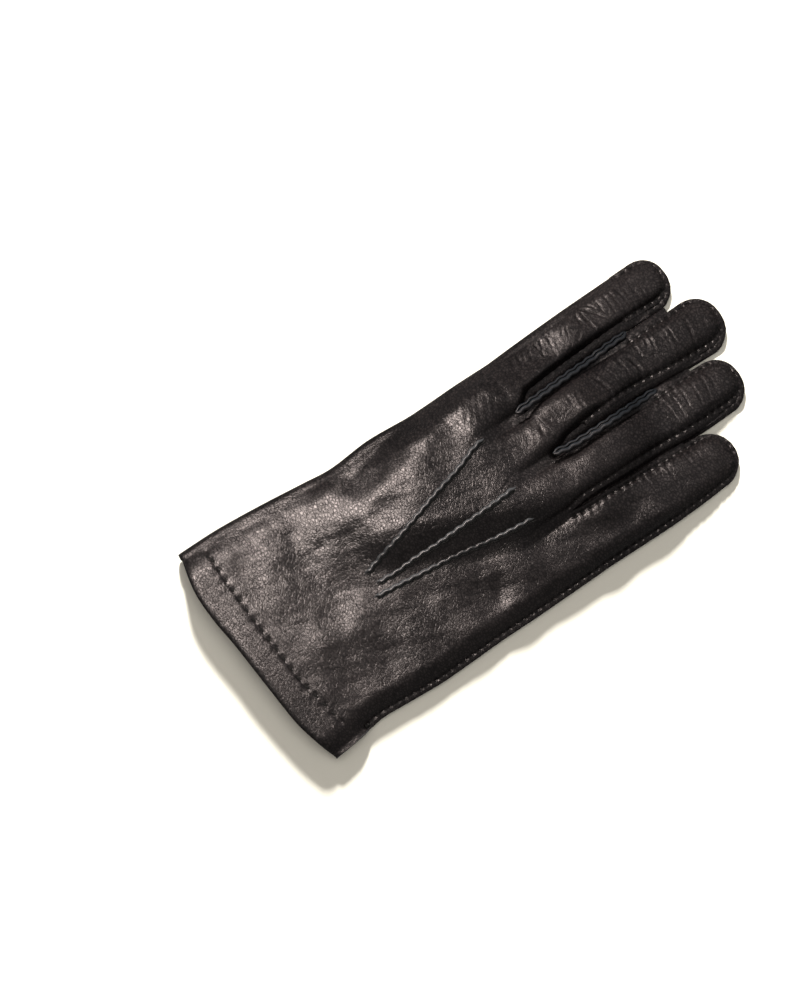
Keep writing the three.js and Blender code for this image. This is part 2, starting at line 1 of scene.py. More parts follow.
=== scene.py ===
# %% [markdown]
# A man's lined dress glove, lying palm down with its thumb folded under the palm.
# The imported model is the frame: it says where every piece of leather lies, and the
# pieces made here lie in the same places, in metres, with the detail of real leather.
# %% Load the frame
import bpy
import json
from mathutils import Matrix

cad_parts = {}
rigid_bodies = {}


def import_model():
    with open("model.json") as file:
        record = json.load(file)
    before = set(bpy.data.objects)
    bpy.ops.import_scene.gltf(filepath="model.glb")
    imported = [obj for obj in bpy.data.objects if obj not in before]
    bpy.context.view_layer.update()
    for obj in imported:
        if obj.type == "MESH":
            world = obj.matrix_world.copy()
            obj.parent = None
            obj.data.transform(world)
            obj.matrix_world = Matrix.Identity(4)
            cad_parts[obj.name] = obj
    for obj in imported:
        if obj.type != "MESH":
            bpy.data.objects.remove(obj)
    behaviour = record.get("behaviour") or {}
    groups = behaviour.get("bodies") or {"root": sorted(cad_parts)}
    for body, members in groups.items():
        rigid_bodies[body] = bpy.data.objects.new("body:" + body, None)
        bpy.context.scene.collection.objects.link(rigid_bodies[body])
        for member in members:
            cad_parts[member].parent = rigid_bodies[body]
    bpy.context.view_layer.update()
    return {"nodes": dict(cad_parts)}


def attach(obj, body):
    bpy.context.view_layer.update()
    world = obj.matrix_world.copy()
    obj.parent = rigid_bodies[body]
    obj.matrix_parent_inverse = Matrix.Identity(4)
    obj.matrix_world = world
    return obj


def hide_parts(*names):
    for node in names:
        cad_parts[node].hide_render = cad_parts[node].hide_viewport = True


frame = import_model()

import json
import math
import bpy
import numpy as np
from mathutils import Matrix, Vector
from mathutils.bvhtree import BVHTree

MM = 0.001
for thing in bpy.data.objects:
    thing.select_set(False)
print("nodes in the frame:", sorted(frame["nodes"]))

# %% [markdown]
# The camera looks almost straight down on the glove, from 0.9 m, turned so that the
# fingers point to the upper right of the picture. It comes first because the size of
# a crease or a stitch in the picture decides how finely each piece has to be made.
# %% Camera
AZIMUTH = math.radians(54.6)
ELEVATION = math.radians(84.0)
DISTANCE = 0.9
FOCAL_PIXELS, PICTURE_HEIGHT, SENSOR = 2099.7, 1000.0, 36.0
RIGHT_PIXELS, UP_PIXELS = 89.0, 12.5
back_of_camera = Vector((math.sin(AZIMUTH) * math.cos(ELEVATION),
                         -math.cos(AZIMUTH) * math.cos(ELEVATION), math.sin(ELEVATION)))
right_of_camera = Vector((math.cos(AZIMUTH), math.sin(AZIMUTH), 0.0))
up_of_camera = back_of_camera.cross(right_of_camera)
looked_at = Vector((-2.53, 1.25, 6.0)) * MM
place = looked_at + back_of_camera * DISTANCE
place -= right_of_camera * (RIGHT_PIXELS / FOCAL_PIXELS * DISTANCE)
place -= up_of_camera * (UP_PIXELS / FOCAL_PIXELS * DISTANCE)
lens = bpy.data.cameras.new("camera")
lens.sensor_fit = "VERTICAL"
lens.sensor_height = SENSOR
lens.lens = FOCAL_PIXELS * SENSOR / PICTURE_HEIGHT
camera = bpy.data.objects.new("camera", lens)
bpy.context.scene.collection.objects.link(camera)
camera.matrix_world = Matrix.Translation(place) @ Matrix(
    (right_of_camera, up_of_camera, back_of_camera)).transposed().to_4x4()
bpy.context.scene.camera = camera
print("camera at", [round(v, 3) for v in place])

# %% [markdown]
# The measures are those of the solids: tables of shares, read by a smooth curve
# through their rows. A real glover works the same way, from one paper pattern.
# %% Measures of the hand and the fingers, in millimetres
# SHIFT takes a place on the plan to the frame, and TO_PLAN one measured from the glove's middle to the plan
SHIFT = np.array([3.766, -127.353])
TO_PLAN = np.array([-6.3, 128.6])
HAND_LENGTH, PALM_WIDTH, CUFF_WIDTH, CUFF_SLANT = 160.0, 101.0, 110.0, 9.0
HAND_HEIGHT, FINGER_HEIGHT, FINGER_EDGE, FOLD_HEIGHT = 10.5, 11.0, 6.6, 7.6
SEAM_RISE, TIP_RISE, LEATHER, HEM_WALL, HEM_DEPTH = 1.4, 0.8, 1.0, 2.3, 12.5
LIP, CLEARANCE, PALM_SPREAD, STRIP_WALL, GROUND_GAP = 2.0, 0.35, 2.6, 0.9, 0.03
FOLDED_SHARE, CLOSE_SHARE, TIP_LIP, FINGER_DOME, OUTER_DROP = 0.868, 0.72, 0.82, 3.8, 1.8


def table(columns, rows):
    return {name: np.array([row[i] for row in rows], float) for i, name in enumerate(columns)}


HAND_SIDES = table(("along", "left", "right", "flare"), [
    (0.0, 0.5, 0.495, 1.06), (0.11, 0.5, 0.482, 1.0), (0.18, 0.5, 0.466, 0.9),
    (0.29, 0.5, 0.478, 0.68), (0.4, 0.5, 0.491, 0.42), (0.49, 0.5, 0.493, 0.22),
    (0.62, 0.517, 0.493, 0.1), (0.77, 0.506, 0.499, 0.0), (1.0, 0.497, 0.504, 0.0)])
CUFF_LINE = table(("along", "climb"), [
    (0, 0.37), (0.14, 0.02), (0.27, 0.0), (0.4, 0.14), (0.62, 0.28), (0.8, 0.42), (0.92, 0.72), (1, 1)])
CROTCH_LINE = table(("along", "climb"), [
    (0, 0.975), (0.244, 0.981), (0.472, 1.0), (0.711, 0.933), (1, 0.915)])
HAND_CROWN = table(("along", "height"), [
    (0, 1.16), (0.1, 1.08), (0.3, 0.97), (0.5, 1.0), (0.75, 1.06), (1, 1.08)])
FINGER_CROWN = table(("along", "height"), [
    (0, 1.0), (0.18, 1.02), (0.34, 0.9), (0.5, 0.98), (0.67, 0.88), (0.84, 0.95), (1, 0.84)])
BACK_DENTS = [
    (0.07, 0.73, 0.06, 0.1), (0.24, 0.63, 0.08, 0.12), (0.12, 0.88, 0.06, 0.1),
    (0.05, 0.44, 0.07, 0.08), (0.76, 0.76, 0.07, 0.08), (0.87, 0.57, 0.06, 0.08),
    (0.39, 0.96, 0.05, 0.08), (0.2, 0.94, 0.05, -0.12), (0.11, 0.58, 0.07, -0.12),
    (0.24, 0.35, 0.09, -0.13), (0.81, 0.67, 0.07, -0.11)]
SIDE_COLUMNS = ("along", "left", "right")
FINGERS = [
    dict(name="index", length=89.0, width=20.5, axis=-0.402, crotch=1, sides=table(SIDE_COLUMNS, [
        (0, -0.47, 0.62), (0.2, -0.49, 0.55), (0.45, -0.5, 0.5), (0.75, -0.5, 0.49), (1, -0.49, 0.54)])),
    dict(name="middle", length=95.0, width=21.0, axis=-0.142, crotch=2, sides=table(SIDE_COLUMNS, [
        (0, -0.5, 0.54), (0.25, -0.49, 0.5), (0.5, -0.48, 0.46), (0.78, -0.46, 0.6), (1, -0.45, 0.66)])),
    dict(name="ring", length=86.0, width=21.0, axis=0.121, crotch=2, sides=table(SIDE_COLUMNS, [
        (0, -0.5, 0.42), (0.25, -0.52, 0.47), (0.55, -0.48, 0.51), (0.8, -0.47, 0.59), (1, -0.43, 0.6)])),
    dict(name="little", length=76.0, width=26.5, axis=0.378, crotch=3, sides=table(SIDE_COLUMNS, [
        (0, -0.56, 0.47), (0.25, -0.53, 0.5), (0.55, -0.48, 0.53), (0.8, -0.44, 0.53), (1, -0.4, 0.51)]))]
THUMB_LENGTH, THUMB_WIDTH, THUMB_HEIGHT, THUMB_FOLD, THUMB_REACH = 120.0, 43.0, 8.0, 5.6, 22.0
THUMB_SIDES = table(("along", "ground", "palm", "right", "height"), [
    (0.0, -0.86, -0.6, -0.55, 0.46), (0.1, -1.02, -0.62, -0.42, 0.72), (0.24, -1.13, -0.68, -0.27, 0.95),
    (0.38, -1.18, -0.76, -0.11, 1.0), (0.5, -1.18, -0.84, 0.02, 1.0), (0.66, -0.94, -0.94, 0.24, 1.0),
    (0.78, -0.66, -0.66, 0.4, 0.97), (0.84, -0.52, -0.52, 0.46, 0.95)])
THUMB_CROTCH, THUMB_STRAIGHT, THUMB_BASE, THUMB_DIP = 0.66, 0.84, 0.405, 0.06


def soften(share):
    share = np.clip(share, 0.0, 1.0)
    return share * share * (3.0 - 2.0 * share)


def ease(share):
    return np.sin(np.clip(share, 0.0, 1.0) * np.pi / 2)


def mix(a, b, share):
    return a + (b - a) * share


def lookup(rows, along, column):
    """Value of a table's column at a place along it, on a smooth curve through its rows."""
    x, y = rows["along"], rows[column]
    last = len(x) - 1
    before, after = np.maximum(np.arange(last + 1) - 1, 0), np.minimum(np.arange(last + 1) + 1, last)
    slope = (y[after] - y[before]) / (x[after] - x[before])
    i = np.clip(np.searchsorted(x, along, side="left") - 1, 0, last - 1)
    span = x[i + 1] - x[i]
    t = np.clip((along - x[i]) / span, 0.0, 1.0)
    bend = slope[i] * span * (t * (1 - t) ** 2) - slope[i + 1] * span * (t ** 2 * (1 - t))
    return y[i] + (y[i + 1] - y[i]) * soften(t) + bend


print("palm", PALM_WIDTH, "mm across, fingers", [finger["length"] for finger in FINGERS])

# %% [markdown]
# The hand lies over the folded thumb, so the leather rises there. The rise is the
# thumb's height inside its outline, and dies away over about two centimetres.
# %% The thumb's outline and the rise of the hand over it


def thumb_plan(along, column):
    return (THUMB_WIDTH * lookup(THUMB_SIDES, along, column),
            HAND_LENGTH * THUMB_BASE + THUMB_LENGTH * np.asarray(along, float))


def thumb_outline(column):
    steps = THUMB_STRAIGHT * np.arange(13) / 12
    left = np.stack(thumb_plan(steps, column), 1)
    right = np.stack(thumb_plan(steps, "right"), 1)
    middle = (left[12] + right[12]) / 2
    half = np.hypot(*(right[12] - left[12])) / 2
    turn = np.pi * np.array([0.25, 0.5, 0.75])
    tip = np.stack([middle[0] - half * np.cos(turn),
                    middle[1] + THUMB_LENGTH * (1 - THUMB_STRAIGHT) * np.sin(turn)], 1)
    return np.concatenate([left, tip, right[::-1]])


PALM_SIDE_OUTLINE, GROUND_SIDE_OUTLINE = thumb_outline("palm"), thumb_outline("ground")


def distance_outside(x, y, outline):
    inside = np.zeros(x.shape, bool)
    nearest = np.full(x.shape, np.inf)
    for start, end in zip(outline, np.roll(outline, -1, 0)):
        dx, dy = end - start
        t = np.clip(((x - start[0]) * dx + (y - start[1]) * dy) / (dx * dx + dy * dy), 0, 1)
        nearest = np.minimum(nearest, np.hypot(x - start[0] - t * dx, y - start[1] - t * dy))
        crossing = (start[1] > y) != (end[1] > y)
        inside ^= crossing & (x < start[0] + dx * (y - start[1]) / (dy if dy else 1.0))
    return np.where(inside, 0.0, nearest)


def lift(x, y):
    along = np.clip((y - HAND_LENGTH * THUMB_BASE) / THUMB_LENGTH, 0, 1)
    over_thumb = THUMB_HEIGHT * lookup(THUMB_SIDES, along, "height") + CLEARANCE
    from_thumb = distance_outside(x, y, PALM_SIDE_OUTLINE)
    from_rim = distance_outside(x, y, GROUND_SIDE_OUTLINE)
    return np.maximum(over_thumb * soften(1 - from_thumb / THUMB_REACH),
                      (LEATHER + CLEARANCE) * soften(1.25 * (1 - from_rim / (THUMB_REACH / 2))))


# %% The hand's plan and the heights of the back


def hand_plan(across, along):
    flare = (CUFF_WIDTH - PALM_WIDTH) * lookup(HAND_SIDES, along, "flare")
    left = -PALM_WIDTH * lookup(HAND_SIDES, along, "left") - flare
    right = PALM_WIDTH * lookup(HAND_SIDES, along, "right")
    cuff = CUFF_SLANT * lookup(CUFF_LINE, across, "climb")
    crotch = HAND_LENGTH * lookup(CROTCH_LINE, across, "climb")
    return left, right, mix(cuff, crotch, along)


def seam_edge(along):
    hem_share = HEM_DEPTH / HAND_LENGTH
    wall = mix(HEM_WALL, LEATHER, soften((along - hem_share) / hem_share))
    return SEAM_RISE + 2 * wall + CLEARANCE


def fold_radius(along):
    return FOLD_HEIGHT / 2 * mix(1, 0.42, soften((along - 0.5) / (FOLDED_SHARE - 0.5)))


def finger_top(index, across, along, tip):
    closed_tip = TIP_RISE + 2 * LEATHER + CLEARANCE
    closing = soften((along - CLOSE_SHARE) / (1 - CLOSE_SHARE))
    left = mix(FINGER_EDGE, closed_tip, closing)
    if index == 0:
        left = np.where(along <= FOLDED_SHARE + 1e-9, 2 * fold_radius(along), closed_tip)
    right = mix(seam_edge(1.0) if index == 3 else FINGER_EDGE, closed_tip, closing)
    edge = mix(left, right, across)
    lip_share = LIP / FINGERS[index]["width"]
    left_lip = lip_share * (soften((along - FOLDED_SHARE) / 0.06) if index == 0 else 1.0)
    side = np.clip((across - left_lip) / (1 - lip_share - left_lip), 0, 1)
    dome = (1 - np.abs(2 * side - 1) ** FINGER_DOME) * (1 - np.minimum(1, tip / TIP_LIP) ** 2.3) ** 0.55
    crown = FINGER_HEIGHT * (0.9 - 0.2 * soften((along - 0.5) / 0.5)) * lookup(FINGER_CROWN, along, "height")
    return edge + (crown - edge) * dome


def hand_top(index, within, across, along):
    edge = mix(FOLD_HEIGHT, seam_edge(along), across)
    dome = np.minimum(ease(across / 0.1), ease((1 - LIP / PALM_WIDTH - across) / 0.085))
    crown = HAND_HEIGHT * lookup(HAND_CROWN, along, "height")
    height = edge + (crown - edge) * dome
    for at, up, radius, rise in BACK_DENTS:
        away = np.hypot((across - at) * PALM_WIDTH, (along - up) * HAND_LENGTH)
        height = height + HAND_HEIGHT * rise * dome * np.exp(-(away / (radius * HAND_LENGTH)) ** 2)
    height = height - OUTER_DROP * dome * soften((across - 0.58) / 0.36)
    return mix(height, finger_top(index, within, 0.0, 0.0), soften((along - 0.82) / 0.18))


def round_tip(across, along):
    side = 2 * across - 1
    return side * np.sqrt(1 - along ** 2 / 2), along * np.sqrt(1 - side ** 2 / 2)


print("rise over the thumb", round(float(lift(np.array([-10.0]), np.array([130.0]))[0]), 2), "mm")

# %% [markdown]
# Each sheet of leather starts as one of Blender's grids. Its rows and columns are
# moved to the places that the pattern gives them, which is how soft goods are shaped
# in code. Solidify then gives it the thickness of leather.
# %% Helpers: a grid laid on a surface, and a finished piece
WELD_DISTANCE, SMOOTH_ANGLE = 0.02 * MM, math.radians(50)


def only(thing):
    for other in bpy.context.selected_objects:
        other.select_set(False)
    thing.select_set(True)
    bpy.context.view_layer.objects.active = thing


def grid_sheet(name, places):
    """A primitive grid whose vertices lie at places, rows by columns by three, in millimetres."""
    rows, columns = places.shape[:2]
    bpy.ops.mesh.primitive_grid_add(x_subdivisions=columns - 1, y_subdivisions=rows - 1, size=1)
    sheet = bpy.context.object
    sheet.name = sheet.data.name = name
    flat = np.empty(len(sheet.data.vertices) * 3)
    sheet.data.vertices.foreach_get("co", flat)
    flat = flat.reshape(-1, 3)
    column = np.rint((flat[:, 0] + 0.5) * (columns - 1)).astype(int)
    row = np.rint((flat[:, 1] + 0.5) * (rows - 1)).astype(int)
    moved = places[row, column].astype(float).copy()
    moved[:, :2] += SHIFT
    sheet.data.vertices.foreach_set("co", (moved * MM).ravel())
    sheet.data.update()
    return sheet


def merged(pieces, name):
    """Joins sheets that share edges, and welds the vertices that lie on each other."""
    only(pieces[0])
    for piece in pieces:
        piece.select_set(True)
    if len(pieces) > 1:
        bpy.ops.object.join()
    whole = bpy.context.object
    whole.name = whole.data.name = name
    bpy.ops.object.mode_set(mode="EDIT")
    bpy.ops.mesh.select_all(action="SELECT")
    bpy.ops.mesh.remove_doubles(threshold=WELD_DISTANCE)
    bpy.ops.mesh.normals_make_consistent(inside=False)
    bpy.ops.object.mode_set(mode="OBJECT")
    return whole


def add_wall(sheet, thickness):
    """Gives a sheet its thickness in millimetres, inwards from its outer face."""
    wall = sheet.modifiers.new("wall", "SOLIDIFY")
    wall.thickness = thickness * MM
    wall.offset = -1.0
    return wall


def apply_all(thing):
    only(thing)
    for modifier in list(thing.modifiers):
        bpy.ops.object.modifier_apply(modifier=modifier.name)


def flip(thing):
    only(thing)
    bpy.ops.object.mode_set(mode="EDIT")
    bpy.ops.mesh.select_all(action="SELECT")
    bpy.ops.mesh.flip_normals()
    bpy.ops.object.mode_set(mode="OBJECT")


def finished(thing, material, replaces=()):
    thing.data.materials.clear()
    thing.data.materials.append(material)
    only(thing)
    bpy.ops.object.shade_smooth_by_angle(angle=SMOOTH_ANGLE)
    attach(thing, "root")
    if replaces:
        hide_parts(*replaces)
    triangles = sum(len(face.vertices) - 2 for face in thing.data.polygons)
    lowest = min(v.co.z for v in thing.data.vertices) / MM
    print(thing.name, "has", triangles, "triangles, lowest at", round(lowest, 2), "mm")
    return thing


def points_of(mesh):
    flat = np.empty(len(mesh.vertices) * 3)
    mesh.vertices.foreach_get("co", flat)
    return flat.reshape(-1, 3)


def surface_of(sheet):
    """The sheet's outer face as it is now, for finding heights on it later."""
    places = [vertex.co.copy() for vertex in sheet.data.vertices]
    return BVHTree.FromPolygons(places, [tuple(face.vertices) for face in sheet.data.polygons])


# %% [markdown]
# Black nappa is dyed sheepskin: a near black with a warm brown cast, a fine pebbled
# grain, and a soft gloss that breaks up on the grain. The pebbles are Voronoi cells
# bent by noise. Their crowns stand up and shine more than the creases between them.
# The creases are painted darker than the crowns, as painted shade of the grain, and a
# slower noise varies the dye and the gloss.
# %% Material: black nappa leather


def nodes_of(name):
    material = bpy.data.materials.new(name)
    material.use_nodes = True
    tree = material.node_tree
    return material, tree, tree.nodes["Principled BSDF"]


def set_sockets(tree, node, sockets):
    """Each socket, by name or number, takes a constant or a link from another node's output."""
    for socket, source in sockets.items():
        if isinstance(source, bpy.types.NodeSocket):
            tree.links.new(source, node.inputs[socket])
        else:
            node.inputs[socket].default_value = source


def add_node(tree, kind, settings=None, **sockets):
    node = tree.nodes.new(kind)
    for key, value in (settings or {}).items():
        setattr(node, key, value)
    set_sockets(tree, node, sockets)
    return node


def sum_of(tree, operation, *sources, of="Math"):
    """The result of a sum such as MULTIPLY_ADD on links and constants, plain ones or vectors."""
    node = add_node(tree, "ShaderNode" + of, {"operation": operation})
    set_sockets(tree, node, dict(enumerate(sources)))
    return node.outputs[0]


def ramp(tree, source, stops):
    """A colour ramp's output: its stops are pairs of a place and a colour or a grey."""
    node = add_node(tree, "ShaderNodeValToRGB", Fac=source)
    while len(node.color_ramp.elements) < len(stops):
        node.color_ramp.elements.new(0.5)
    for element, (position, color) in zip(node.color_ramp.elements, stops):
        element.position = position
        element.color = (*color, 1.0) if isinstance(color, tuple) else (color, color, color, 1.0)
    return node.outputs["Color"]


def bump_normal(tree, height, strength, distance):
    node = add_node(tree, "ShaderNodeBump", Strength=strength, Distance=distance, Height=height)
    return node.outputs["Normal"]


CLOUD_SCALE, FINE_SCALE, PEBBLE_SCALE, WIDE_SCALE = 28.0, 520.0, 820.0, 330.0
GRAIN_STRETCH, GRAIN_BEND, GRAIN_DEPTH = (0.78, 1.0, 0.9), (0.0014, 0.0014, 0.0014), 0.00005


def leather_material(name, dark, light, gloss, grain):
    """Leather of two dye tones, its gloss from 0 up and the share of the full grain it keeps, which also sets
    how much painted shade darkens the creases of the grain.
    """
    material, tree, shader = nodes_of(name)
    place = add_node(tree, "ShaderNodeTexCoord").outputs["Object"]
    clouds = add_node(tree, "ShaderNodeTexNoise", Vector=place, Scale=CLOUD_SCALE, Detail=4.0, Roughness=0.55)
    cloudy = clouds.outputs["Fac"]
    stretched = sum_of(tree, "MULTIPLY", place, GRAIN_STRETCH, of="VectorMath")
    fine = add_node(tree, "ShaderNodeTexNoise", Vector=stretched, Scale=FINE_SCALE, Detail=2.0, Roughness=0.5)
    bent = sum_of(tree, "MULTIPLY_ADD", fine.outputs["Color"], GRAIN_BEND, stretched, of="VectorMath")
    pebbles, wide = (add_node(tree, "ShaderNodeTexVoronoi", {"feature": "DISTANCE_TO_EDGE"}, Vector=bent,
                              Scale=scale).outputs["Distance"] for scale in (PEBBLE_SCALE, WIDE_SCALE))
    crowns = ramp(tree, pebbles, [(0.0, 0.0), (0.18, 1.0)])
    wide_crowns = ramp(tree, wide, [(0.0, 0.0), (0.07, 1.0)])
    relief = sum_of(tree, "MULTIPLY_ADD", wide_crowns, 0.8, crowns)
    height = sum_of(tree, "MULTIPLY_ADD", fine.outputs["Fac"], 0.75, relief)
    # Painted shade: the creases between the pebbles come out darker than their crowns, on top of the slow
    # random tone of the dye
    dye_and_crease_shade = sum_of(tree, "MULTIPLY_ADD", pebbles, 3.4 * grain, 1.0 - 0.6 * grain)
    dye_and_crease_shade = sum_of(tree, "MULTIPLY", cloudy, dye_and_crease_shade)
    # The darkest tone is painted shade in the deepest creases of the grain
    crease_shade_tone = tuple(0.3 * value for value in dark)
    facing = add_node(tree, "ShaderNodeLayerWeight", Blend=0.5).outputs["Facing"]
    worn = ramp(tree, facing, [(0.12, 0.5), (0.7, 0.1)])
    polish = sum_of(tree, "MULTIPLY_ADD", pebbles, 1.6 * grain, 1.0 - 0.28 * grain)
    set_sockets(tree, shader, {
        "Base Color": ramp(tree, dye_and_crease_shade, [(0.2, crease_shade_tone), (0.35, dark), (0.7, light)]),
        "Roughness": sum_of(tree, "MULTIPLY_ADD", cloudy, 0.16, gloss),
        "Normal": bump_normal(tree, height, grain, GRAIN_DEPTH),
        "Specular IOR Level": sum_of(tree, "MULTIPLY", worn, polish),
        "Specular Tint": (1.0, 0.92, 0.92, 1.0)})
    return material


nappa = leather_material("nappa", (0.0038, 0.0031, 0.0031), (0.0095, 0.0073, 0.0068), 0.26, 1.0)
# Painted highlight: the pin tucks' leather is several times lighter than the nappa; the hem's bare cut edge
# uses it for its own paler colour
tuck_highlight_and_bare_edge_leather = leather_material(
    "tuck_highlight_and_bare_edge", (0.024, 0.0238, 0.0238), (0.036, 0.0358, 0.0358), 0.3, 0.12)
edge_leather = leather_material(
    "cut_edge", (0.0045, 0.0052, 0.006), (0.008, 0.009, 0.0102), 0.42, 0.3)
print("made the leather")

# %% [markdown]
# The thread is black and waxed, so it is duller than the leather round it. A fine
# noise stands for its twist, which at this size is only a roughness.
# %% Material: waxed thread
thread, thread_tree, thread_shader = nodes_of("waxed_thread")
thread_place = add_node(thread_tree, "ShaderNodeTexCoord").outputs["Object"]
twist = add_node(thread_tree, "ShaderNodeTexNoise", Vector=thread_place, Scale=2600.0, Detail=2.0)
set_sockets(thread_tree, thread_shader, {
    "Base Color": (0.006, 0.0055, 0.005, 1.0), "Roughness": 0.8, "Specular IOR Level": 0.2,
    "Normal": bump_normal(thread_tree, twist.outputs["Fac"], 0.5, 0.00008)})
print("made the thread")

# %% [markdown]
# The seams are prick seams: two raw edges stand outwards and a saddle stitch goes
# through both about two millimetres in. Every seam needs its line on the plan, so
# that the puckers in the leather and the thread in them fall at the same places.
# %% Rows and columns of the back, and the seam lines


def spaced(start, end, step):
    count = max(1, int(round(abs(end - start) / step)))
    return [mix(start, end, i / count) for i in range(count)]


def finger_columns(width, lip_step, step):
    lip = 2.7
    return np.array(spaced(0, lip, lip_step) + spaced(lip, width - lip, step)
                    + spaced(width - lip, width, lip_step) + [width]) / width


HEM_SHARE = HEM_DEPTH / HAND_LENGTH
HEM_STEP_END = HEM_SHARE + 0.006


def side_of_finger(finger, is_back):
    axis = PALM_WIDTH * finger["axis"]
    spread = 0.0 if is_back or finger["name"] == "little" else PALM_SPREAD
    return lambda along: (
        axis + finger["width"] * lookup(finger["sides"], along, "left"),
        axis + finger["width"] * lookup(finger["sides"], along, "right") + spread * soften(along / 0.2))


def glove_plan(is_back, lip_step, step, hand_step, row_step):
    """Places in plan of a whole side of the glove: the hand, then each finger, with their shares."""
    radius = float(fold_radius(0.0))
    columns = [finger_columns(finger["width"], lip_step, step) for finger in FINGERS]
    across, within, owner = [], [], []
    for index, shares in enumerate(columns):
        start, end = CROTCH_LINE["along"][index:index + 2]
        kept = shares if index == 0 else shares[1:]
        across.append(mix(start, end, kept))
        within.append(kept)
        owner.append(np.full(len(kept), index))
    across, within, owner = (np.concatenate(part) for part in (across, within, owner))
    along = np.array(spaced(0, HEM_SHARE, 0.8 / HAND_LENGTH)
                     + spaced(HEM_SHARE, HEM_STEP_END, 0.3 / HAND_LENGTH)
                     + spaced(HEM_STEP_END, 1, hand_step / HAND_LENGTH) + [1.0])
    grid_along, grid_across = np.meshgrid(along, across, indexing="ij")
    left, right, y = hand_plan(grid_across, grid_along)
    x = mix(left + radius, right, grid_across)
    hand = dict(x=x, y=y, across=grid_across, along=grid_along, within=np.broadcast_to(within, x.shape),
                owner=np.broadcast_to(owner, x.shape), left=left[:, 0])
    parts = []
    column = 0
    for index, finger in enumerate(FINGERS):
        shares = columns[index]
        root = slice(column, column + len(shares))
        column += len(shares) - 1
        root_x, root_y = x[-1, root], y[-1, root]
        sides = side_of_finger(finger, is_back)
        end_left, end_right = (float(v) for v in sides(np.array(1.0)))
        half = (end_right - end_left) / 2
        spread = 0.0 if is_back or index == 3 else PALM_SPREAD
        tip_half = half - spread / 2
        tip_start = HAND_LENGTH * CROTCH_LINE["climb"][finger["crotch"]] + finger["length"] - tip_half
        share_step = row_step / (tip_start - root_y.mean())
        run = np.array(spaced(0, FOLDED_SHARE, share_step) + spaced(FOLDED_SHARE, FOLDED_SHARE + 0.003, 0.003)
                       + spaced(FOLDED_SHARE + 0.003, 1, share_step) + [1.0])
        tips = np.array(spaced(0, 1, step / tip_half) + [1.0])[1:]
        rows_x, rows_y, rows_inset = [], [], []
        for share in run:
            side_left, side_right = sides(share)
            folded = index == 0 and share <= FOLDED_SHARE + 1e-9
            inset = float(fold_radius(share)) if folded else 0.0
            past = 0.0
            if index == 0 and not folded:
                past = float(fold_radius(share) * (1 - soften((share - FOLDED_SHARE) / 0.09)))
            blend = soften(share / 0.12)
            rows_y.append(mix(root_y, tip_start, share))
            start_x = side_left + inset + past * ease(shares / 0.12)
            rows_x.append(mix(root_x, mix(start_x, side_right, shares), blend))
            rows_inset.append(inset)
        for tip in tips:
            place_x, place_y = round_tip(shares, tip)
            rows_x.append((end_left + end_right) / 2 + half * place_x)
            rows_y.append(tip_start + tip_half * place_y)
            rows_inset.append(0.0)
        total = len(rows_x)
        parts.append(dict(
            x=np.array(rows_x), y=np.array(rows_y), inset=np.array(rows_inset),
            along=np.repeat(np.concatenate([run, np.ones(len(tips))])[:, None], len(shares), 1),
            tip=np.repeat(np.concatenate([np.zeros(len(run)), tips])[:, None], len(shares), 1),
            within=np.tile(shares, (total, 1))))
    return hand, parts


# The place on the plan where the outer seam ends in a knot, above the hem
KNOT_Y = 28.0


def seam_lines(hand, parts):
    """Each finger's stitched edge: up its left side, round the tip and down its right side."""
    lines = []
    for index, part in enumerate(parts):
        edge = np.stack([part["x"], part["y"]], 2)
        up, over, down = edge[:, 0], edge[-1, 1:-1], edge[::-1, -1]
        if index == 0:
            up = up[part["along"][:, 0] > FOLDED_SHARE + 1e-6]
        line = np.concatenate([up, over, down])
        if index == 3:
            side = np.stack([hand["x"][:, -1], hand["y"][:, -1]], 1)[::-1]
            line = np.concatenate([line, side[side[:, 1] > KNOT_Y]])
        lines.append(line[np.concatenate([[True], np.hypot(*np.diff(line, axis=0).T) > 1e-6])])
    return lines


back_hand, back_fingers = glove_plan(True, lip_step=0.42, step=0.86, hand_step=0.94, row_step=0.54)
SEAMS = seam_lines(back_hand, back_fingers)
STITCH_PITCH, STITCH_INSET = 4.0, 1.9
PITCHES = (STITCH_PITCH, STITCH_PITCH, STITCH_PITCH, 3.8)
print("seams of", [round(float(np.hypot(*np.diff(line, axis=0).T).sum())) for line in SEAMS], "mm")

# %% [markdown]
# Puckers, creases and dents are what make a sheet look like leather. Each is a small
# rise or fall added to the sheet's height, in tables of places that can be read.
# %% Relief: seams, creases and a slow ripple


def reach_along(line):
    """Distance from the line's start to each of its places."""
    return np.concatenate([[0], np.cumsum(np.linalg.norm(np.diff(line, axis=0), axis=1))])


def smoothed(values, times):
    """Draws each value towards its neighbours a number of times, with the ends kept."""
    for _ in range(times):
        values[1:-1] = (values[:-2] + 2 * values[1:-1] + values[2:]) / 4
    return values


def along_line(x, y, line):
    """Distance to a line on the plan, and how far along the line the nearest place is."""
    nearest, travelled = np.full(x.shape, np.inf), np.zeros(x.shape)
    total = 0.0
    for start, end in zip(line[:-1], line[1:]):
        dx, dy = end - start
        length = math.hypot(dx, dy)
        t = np.clip(((x - start[0]) * dx + (y - start[1]) * dy) / length ** 2, 0, 1)
        away = np.hypot(x - start[0] - t * dx, y - start[1] - t * dy)
        closer = away < nearest
        nearest = np.where(closer, away, nearest)
        travelled = np.where(closer, total + t * length, travelled)
        total += length
    return nearest, travelled


def bump_at(distance, middle, width):
    return np.exp(-((distance - middle) / width) ** 2)


